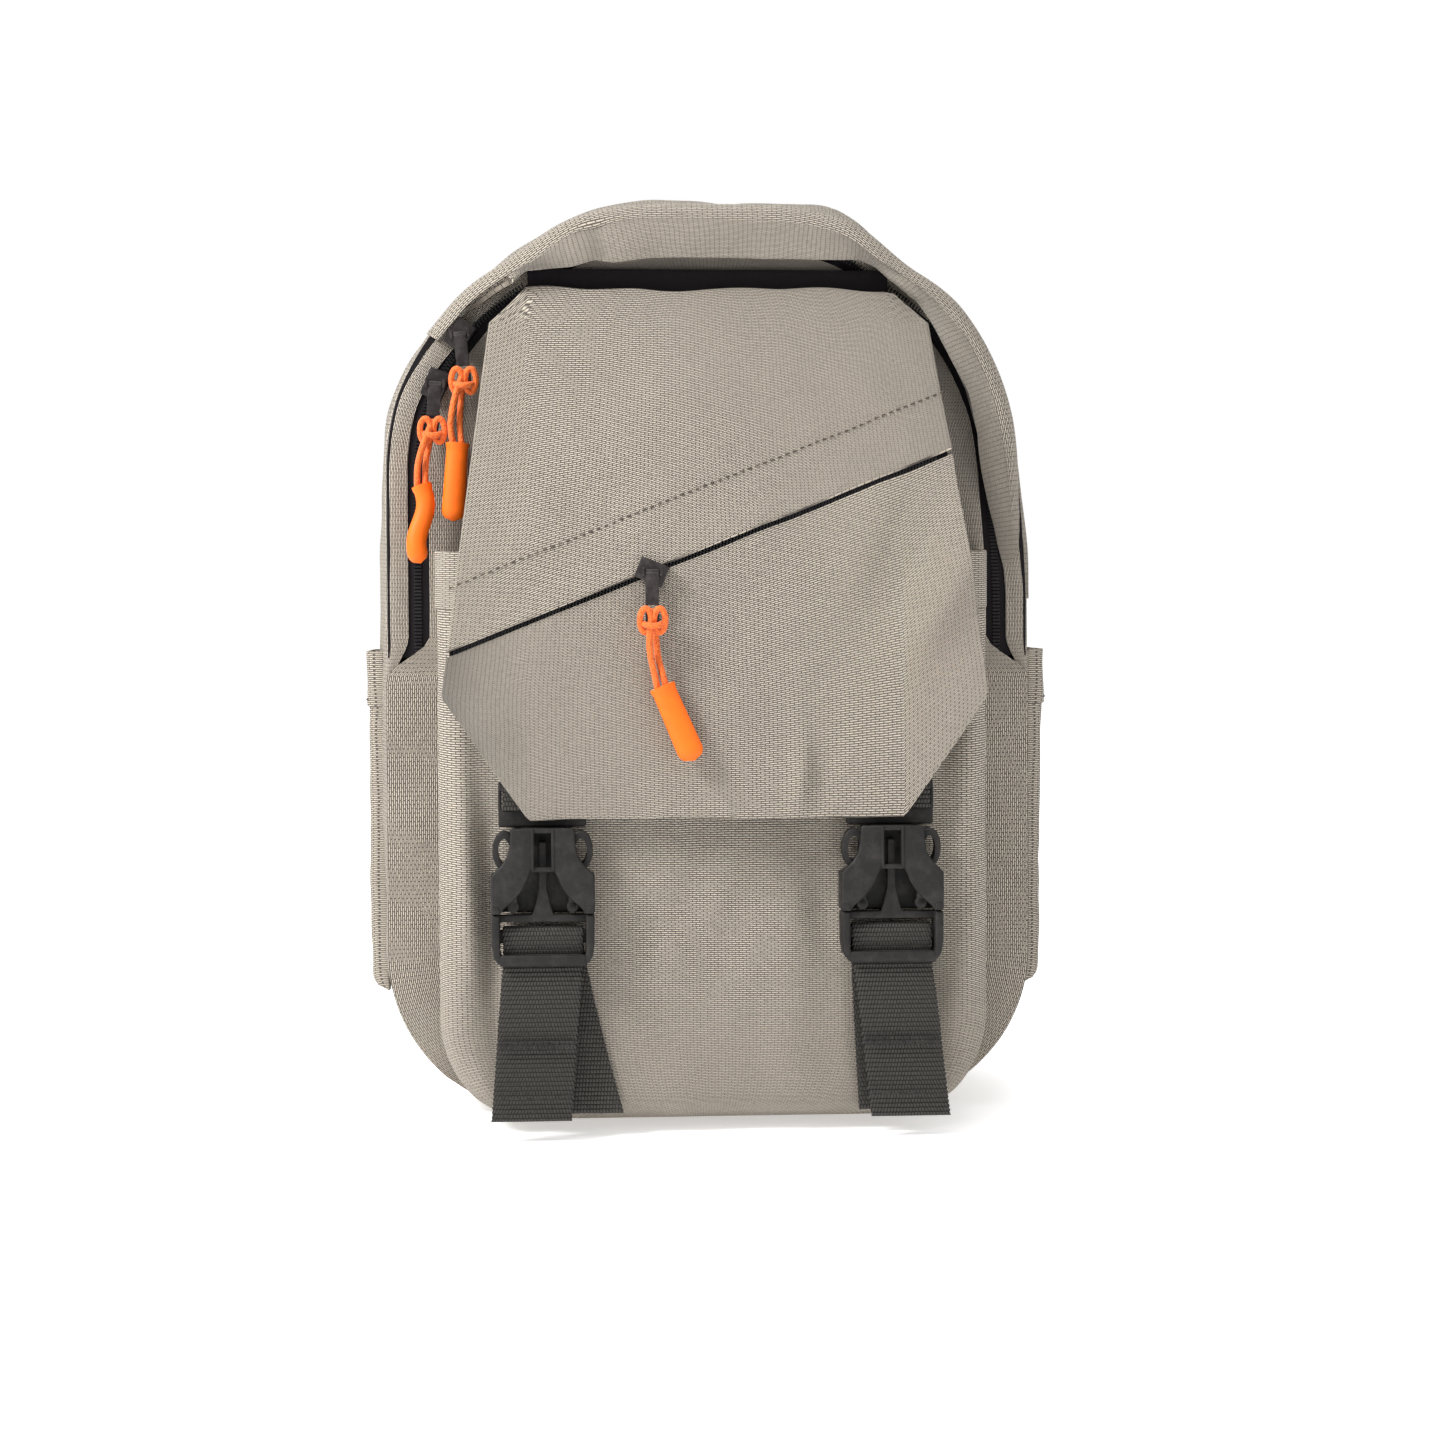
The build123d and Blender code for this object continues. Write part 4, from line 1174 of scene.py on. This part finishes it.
def buckle(side, x):
    # socket: a front face with an arched mouth, a back face, side walls and the webbing bar
    mouth = [(15.6, 81.3), (14.4, 83.2), (11.2, 86.0), (8.4, 89.0), (6.6, 92.0), (5.4, 95.0), (4.4, 97.0)]
    shoulder = [(19.1, 81.3), (19.3, 88.0), (19.1, 95.2), (18.2, 96.6), (15.2, 99.4), (12.9, 103.0),
        (12.0, 108.0), (11.7, 113.0)]
    left_half = [(-3.4, 113.0), (-3.4, 99.2), (-3.9, 98.0)] + [(-a, b) for a,
        b in reversed(mouth)] + [(-a, b) for a, b in shoulder]
    right_half = [(-a, b) for a, b in left_half]
    parts = []
    for n, half in enumerate((left_half, right_half)):
        parts.append(shifted_plate(f"face_{n}", half, x, 48.6, 51.2, 0.9, 4))
    parts.append(shifted_plate("bridge", [(-4.6, 96.9), (4.6, 96.9), (3.9, 98.6), (-3.9, 98.6)], x, 48.9,
        50.9, 0.4))
    for sign in (-1, 1):
        rail = [(sign * 3.2, 97.5), (sign * 4.4, 97.5), (sign * 4.4, 113.0), (sign * 3.2, 113.0)]
        parts.append(shifted_plate("rail", rail, x, 49.0, 51.5, 0.35))
        lip = [(sign * a, b) for a, b in [(15.4, 81.4), (18.9, 81.4), (18.9, 84.0), (16.4, 84.0)]]
        parts.append(shifted_plate("wall",
            [(sign * a, b) for a, b in [(16.9, 81.4), (19.2, 81.4), (19.2, 96.0), (16.9, 96.0)]], x, 39.4,
            51.0, 0.8, 3))
        parts.append(shifted_plate("lip", lip, x, 50.6, 51.7, 0.4))
    back = [(19.0, 81.4), (19.0, 95.2), (15.0, 98.0), (10.4, 101.0), (10.4, 113.0), (16.2, 113.6),
        (16.4, 119.6)]
    parts.append(shifted_plate("back_face", mirrored(back), x, 39.3, 41.7, 0.5))
    parts.append(shifted_plate("end_wall", [(-8, 111.2), (8, 111.2), (8, 113), (-8, 113)], x, 39.4, 51.0,
        0.4))
    for up_low, up_high in ((113.2, 119.8), (126.2, 129.9)):
        bar = [(-16.3, up_low), (16.3, up_low), (16.3, up_high), (-16.3, up_high)]
        parts.append(shifted_plate("bar", bar, x, 39.4, 43.2, 0.7))
    for sign in (-1, 1):
        post = [(sign * 15.1, 119), (sign * 16.4, 119), (sign * 16.4, 127), (sign * 15.1, 127)]
        parts.append(shifted_plate("post", post, x, 39.4, 43.2, 0.4))
    paint(joined(f"{side}_socket", parts), acetal, "flap", f"{side}_buckle_socket")

    # plug: rails round the ladder bar, a bottom bar, and the centre rib
    parts = []
    for sign in (-1, 1):
        rail = [(15.9, 81.0), (19.1, 81.0), (19.0, 70.0), (18.3, 65.4), (16.6, 62.8), (14.6, 62.1),
            (14.6, 64.0), (15.9, 67.0)]
        parts.append(shifted_plate("rail", [(sign * a, b) for a, b in rail], x, 40.4, 51.0, 0.8, 3))
    top = mirrored([(16.4, 78.0), (16.4, 80.8), (4.0, 80.8), (3.0, 84.0), (1.6, 90.0), (1.5, 107.8)])
    parts.append(shifted_plate("rib", [(a, b) for a, b in top], x, 43.4, 47.0, 0.5))
    bar = [(-16.2, 62.1), (16.2, 62.1), (15.8, 66.2), (-15.8, 66.2)]
    parts.append(shifted_plate("bottom_bar", bar, x, 48.9, 51.3, 0.9, 4))
    ladder = [(-16.2, 70.2), (16.2, 70.2), (16.2, 75.2), (-16.2, 75.2)]
    parts.append(shifted_plate("ladder_bar", ladder, x, 43.2, 47.0, 0.8))
    paint(joined(f"{side}_plug", parts), acetal, f"{side}_plug", f"{side}_plug_frame")

    # release arms, each a prong that ends in an oval ring
    for sign, arm in ((-1, "left_arm"), (1, "right_arm")):
        ring = arc(14.2 * sign, 104.6, 4.4, 0, 360, 28, 7.4)[:-1]
        pad = shifted_plate("pad", ring, x, 42.3, 48.1, 0.7, 3)
        bpy.ops.object.select_all(action="DESELECT")
        bpy.ops.mesh.primitive_cylinder_add(vertices=24, radius=1, depth=0.03,
            rotation=(pi / 2 + lean, 0, 0), location=local(x + 14.2 * sign, 45.2, 104.6))
        tool = named("hole")
        tool.scale = (2.2 * MM, 4.8 * MM, 1)
        bpy.ops.object.transform_apply(location=True, rotation=True, scale=True)
        hole = pad.modifiers.new("hole", "BOOLEAN")
        hole.operation, hole.solver, hole.object = "DIFFERENCE", "EXACT", tool
        finish_modifiers(pad)
        bpy.data.objects.remove(tool)
        prong_line = [(9.4, 83.0), (12.7, 83.0), (13.2, 92.0), (13.6, 98.0), (10.4, 99.0), (9.6, 92.0)]
        prong = shifted_plate("prong", [(sign * a, b) for a, b in prong_line], x, 42.3, 48.1, 0.5)
        pivot = shifted_plate("root", arc(11 * sign, 83.8, 2.2, 0, 360, 20)[:-1], x, 42.3, 48.1, 0.4)
        paint(joined(f"{side}_{arm}_ring", [pad, prong, pivot]), acetal, f"{side}_plug_{arm}",
            f"{side}_plug_{arm}")


buckle("left", -buckle_across)
buckle("right", buckle_across)


# ------------------------------------------------------------------ zip pulls
cord_radius = 1.25 * MM
pull_cords = {
    "flap": [(-22.2, 51.5, 164), (-23.4, 51.6, 170), (-25, 52.4, 176.5), (-25.4, 53.2, 184.5),
    (-24, 53.3, 192.9),
             (-24, 46.7, 192.9), (-22.6, 47, 184.5), (-22.2, 49, 176.5), (-20.4, 51, 170),
             (-19, 51.5, 164.6)],
    "upper": [(-98, 13.6, 257), (-99.2, 14, 262.6), (-98.7, 14.4, 269), (-97.2, 13.2, 276.6),
    (-94, 13, 285.3),
              (-94, 6.6, 285.3), (-95, 8, 276.6), (-95.6, 10.6, 269), (-95.6, 12.6, 262.6),
              (-94.9, 13.6, 257)],
    "lower": [(-111.8, 13.6, 241), (-112, 14, 247), (-110.8, 15, 253), (-108.8, 14.2, 259.2),
    (-106, 13, 266.3),
              (-106, 6.6, 266.3), (-107.2, 8, 259.2), (-108.4, 10.6, 253), (-108.9, 12.8, 247),
              (-108.8, 13.6, 241)],
}
grips = {
    "flap": ((-20.6, 51.5, 165.3), (-8.8, 52.8, 137.7), 0.0, 4.5),
    "upper": ((-96.4, 13.6, 258.0), (-98.4, 14.6, 228.1), 0.0, 4.1),
    "lower": ((-110.3, 13.6, 242.0), (-110.6, 16.0, 212.1), 1.7, 3.5),
}
zip_nodes = {"flap": "flap_zip", "upper": "upper_zip", "lower": "lower_zip"}
for name, spots in pull_cords.items():
    body = f"{name}_pull"
    mouth, tip, sway, half = grips[name]
    mouth, tip = local(*mouth), local(*tip)
    spine, sizes = [], []
    for n in range(25):
        share = n / 24
        spot = mouth.lerp(tip, share)
        spot.x += sway * MM * sin(2 * pi * share)
        spine.append(spot)
        rounding = sqrt(max(0.0, 1 - max(0.0, (share - 0.86) / 0.14) ** 2))
        lip = 0.35 if share < 0.05 else 0.0
        wide, deep = half + 0.4 * ease(share) + lip, 2.7 + 0.3 * ease(share) + lip
        sizes.append((wide * rounding + 0.02, deep * rounding + 0.02))
    grip = paint(tube(f"{name}_rubber_grip", spine, sizes, 24), orange_rubber, body, f"{name}_pull_grip")
    loops = []
    hole_x, _, hole_up = spots[4]
    front = spots[4][1]
    for sign in (-1, 1):
        line = []
        for n in range(25):
            turn = 2 * pi * n / 24
            dx = sign * (2.6 + 2.1 * cos(turn))
            line.append(local(hole_x + dx, front - 0.4 + 0.9 * sin(turn), hole_up - 3.4 + 4.4 * sin(turn)))
        loops.append(tube("loop", line, [(1.2, 1.2)] * 25, 10, out_axis))
    wrap = [(-3.4, -0.6, -4.6), (-2.2, 1.2, -5.2), (0, 1.9, -5.5), (2.2, 1.2, -5.2), (3.4, -0.6, -4.6)]
    line = [local(hole_x + dx, front + dy, hole_up + dz) for dx, dy, dz in wrap]
    loops.append(tube("loop", line, [(1.2, 1.2)] * len(line), 10, Vector((0, 0, 1))))
    knot = paint(joined(f"{name}_cord_knot", loops), orange_braid, body)
    bpy.ops.object.select_all(action="DESELECT")
    bpy.ops.curve.primitive_nurbs_path_add()
    cord = named(f"{name}_braided_cord")
    cord.data.splines.clear()
    spline = cord.data.splines.new("NURBS")
    spline.points.add(len(spots) - 1)
    for point, spot in zip(spline.points, spots):
        point.co = (*local(*spot), 1)
    spline.order_u = 3
    spline.use_endpoint_u = True
    spline.resolution_u = 10
    cord.data.dimensions = "3D"
    cord.data.bevel_depth = cord_radius
    cord.data.bevel_resolution = 4
    paint(cord, orange_braid, body, f"{name}_pull_cord")
    dressed(f"{zip_nodes[name]}_slider", slider_paint, f"{name}_slider", None, 0.45, 3)
    dressed(f"{zip_nodes[name]}_tab", slider_paint, body, None, 0.35, 3)


# ------------------------------------------------------------------ back of the bag
def back_skin(inset, lift):
    def skin(u, v):
        run = u * outline_run
        far_x, far_z = outline(run)
        edge_x, edge_z = outline(run, inset + back_slump(-far_x, far_z))  # laid from the other side
        mid_z = max(70.0, min(270.0, edge_z))
        x, z = between(edge_x, 0.0, v), between(edge_z, mid_z, v)
        return Vector((-x * MM, (back_seam - 1.6 + lift(x, z, v)) * MM, max(0.3, z) * MM))
    return skin


back_wall = cloth("back_wall", 220, 10, back_skin(1.6, lambda x, z, v: 1.2 * ease(v * 4)), 1.6, True,
    (1.0, 0.12), wrapped=True)
paint(back_wall, lining, "root", "back_panel")


def pad_lift(x, z, v):
    edge = sqrt(max(0.0, 1 - (1 - min(1.0, v / 0.16)) ** 2))
    spine_groove = exp(-((x / 9) ** 2))
    seams = sum(exp(-(((z - level - 6 * (abs(x) / 100) ** 2) / 3.2) ** 2)) for level in (98, 178, 258))
    return 1.8 + 7.2 * edge * (1 - 0.55 * max(spine_groove, min(1.0, seams)))


pad = cloth("back_pad_cushion", 260, 60, back_skin(14.5, pad_lift), 1.4, True, (1.0, 0.12), wrapped=True)
for vertex in pad.data.vertices:
    vertex.co.z = max(0.0205, vertex.co.z)
paint(pad, pad_mesh, "root", "back_pad")

strap_inner = [(106, 38), (130, 37.6), (170, 37), (210, 30), (250, 21), (292, 12.5), (332, 8)]
strap_outer = [(106, 64), (130, 80), (175, 91), (214, 85), (250, 75), (292, 64), (332, 58)]


def shoulder_strap(side, sign):
    def skin(u, v):
        z = between(106.6, 331.4, v)
        inner, outer = lookup(strap_inner, z) + 0.6, lookup(strap_outer, z) - 0.6
        turn = 2 * pi * u
        half = (outer - inner) / 2
        across = abs(cos(turn)) ** 0.8 * (1 if cos(turn) > 0 else -1)
        thick = 3.6 * abs(sin(turn)) ** 0.65 * (1 if sin(turn) > 0 else -1)
        end = sqrt(max(0.0, 1 - (1 - min(1.0, min(v, 1 - v) / 0.02)) ** 2))
        thick *= 0.45 + 0.55 * end
        x = (inner + outer) / 2 + half * across
        return Vector((sign * x * MM, (53.1 + thick) * MM, z * MM))

    pad = cloth(f"{side}_strap_pad", 40, 120, skin, size=(0.12, 0.226), wrapped=True)
    bpy.ops.object.mode_set(mode="EDIT")
    bpy.ops.mesh.select_all(action="DESELECT")
    bpy.ops.mesh.select_non_manifold()
    bpy.ops.mesh.edge_face_add()
    bpy.ops.object.mode_set(mode="OBJECT")
    close_up(pad)
    smooth(pad, 50)
    paint(pad, pad_mesh, "root", f"{side}_shoulder_strap")
    for edge, name in ((strap_inner, "inner"), (strap_outer, "outer")):
        shift = 0.8 if name == "inner" else -0.8
        line = [Vector((sign * (lookup(edge, z) + shift) * MM, 0.0531,
            z * MM)) for z in [107 + 1.5 * n for n in range(150)]]
        paint(tube(f"{side}_strap_{name}_binding", line, [(1.4, 2.1)] * len(line), 8), tape, "root")
    dressed(f"{side}_ladder_lock", acetal, "root", None, 0.8, 3)
    path = []
    start, end = Vector((54.6, 0, 89.6)), Vector((88, 0, 30))
    along = (end - start).normalized()
    across = Vector((along.z, 0, -along.x))
    for n in range(13):
        share = n / 12
        spot = start.lerp(end, share)
        y = 56.0 - 1.2 * sin(pi * share) + 2.4 * ease((share - 0.55) / 0.3)
        path.append((Vector((sign * spot.x, y, spot.z)) * MM, Vector((sign * across.x, 0, across.z)),
            Vector((0, 1, 0))))
    ribbed(f"{side}_rear_webbing", path, "root", 12.5, 1.0, f"{side}_lower_webbing")
    top = [(Vector((sign * 51, y, z)) * MM, across_x, Vector((0, 1, 0))) for y, z in
           ((57.6, 80), (58.6, 85), (59.8, 89), (60.8, 93), (60.8, 97), (59.6, 100), (58.2, 104),
           (58.0, 108))]
    ribbed(f"{side}_lock_webbing", top, "root", 12.0, 0.8)


shoulder_strap("left", -1)
shoulder_strap("right", 1)


def wing_skin(sign):
    corners = [Vector((70, 0, 16)), Vector((113, 0, 40)), Vector((113, 0, 62)), Vector((74, 0, 50))]

    def skin(u, v):
        spot = corners[0].lerp(corners[1], u).lerp(corners[3].lerp(corners[2], u), v)
        y = 55.2 - 12.6 * ease((u - 0.55) / 0.45) + 0.5 * sin(pi * v)
        return Vector((sign * spot.x, y, spot.z)) * MM
    return skin


wings = [cloth(f"wing_{sign}", 20, 12, wing_skin(sign), 2.2, sign < 0, (0.05, 0.03), 0.5) for sign in (-1, 1)]
paint(joined("strap_wing_cloth", wings), greige, "root", "strap_wings")


def yoke_skin(u, v):
    away = 57.2 + 0.9 * sin(pi * v) + 0.2 * sin(40 * u)
    return Vector(((2 * u - 1) * 61.6, away, between(306.4, 325.6, v))) * MM


yoke = cloth("strap_yoke_cloth", 60, 8, yoke_skin, 1.2, True, (0.124, 0.02), 0.4)
paint(yoke, greige, "root", "strap_yoke")

# haul handle: webbing that runs out, across and back in
droop = radians(30)
reach_axis = Vector((0, cos(droop), -sin(droop)))
handle_face = Vector((0, sin(droop), cos(droop)))
handle_root = Vector((0, 44, 343)) * MM
path = []
for x, reach in [(-26, 0.5), (-26, 8), (-26, 16)] + [(a, b) for a, b in arc(-12, 20, 14, 180, -90, 8)] + \
        [(a, b) for a, b in arc(12, 20, 14, 90, -90, 8)] + [(26, 16), (26, 8), (26, 0.5)]:
    path.append((x, reach))
for n, (x, reach) in enumerate(path):
    before, after = path[max(0, n - 1)], path[min(len(path) - 1, n + 1)]
    run = Vector((after[0] - before[0], 0, 0)) + reach_axis * (after[1] - before[1])
    across = handle_face.cross(run.normalized())
    path[n] = (x, reach, across)
ready = [(handle_root + Vector((x * MM, 0, 0)) + reach_axis * (reach * MM), across, handle_face) for x,
    reach, across in path]
ribbed("haul_handle_webbing", ready, "handle", 9.6, 1.6, "haul_handle")


def anchor_skin(u, v):
    return Vector(((2 * u - 1) * 35.6, 41.6 + 0.5 * sin(pi * v), between(338.8, 348.8, v))) * MM


anchor = cloth("handle_anchor_cloth", 40, 6, anchor_skin, 0.8, True, (0.07, 0.01), 0.3)
paint(anchor, tape, "root", "handle_anchor")

# laptop sleeve: a lined wall that stands in front of the back panel
sleeve_half = 111


def sleeve_skin(u, v):
    x = (2 * u - 1) * sleeve_half
    z = between(4.0, 237.5, v)
    limit = min(1.0, max(0.0, (sleeve_half - abs(x)) / 8))
    across = max(-sleeve_half, min(sleeve_half, x))
    away = between(36.0, 27.0 + 0.8 * wobble(x, z, 50, 21.0), ease(limit))
    return Vector((across, away, max(z, 3.6 + 24 * ease((abs(x) - 84) / 28)))) * MM


paint(cloth("sleeve_wall", 80, 60, sleeve_skin, 1.6, True, (0.22, 0.23), 0.4), lining, "root",
    "laptop_sleeve")
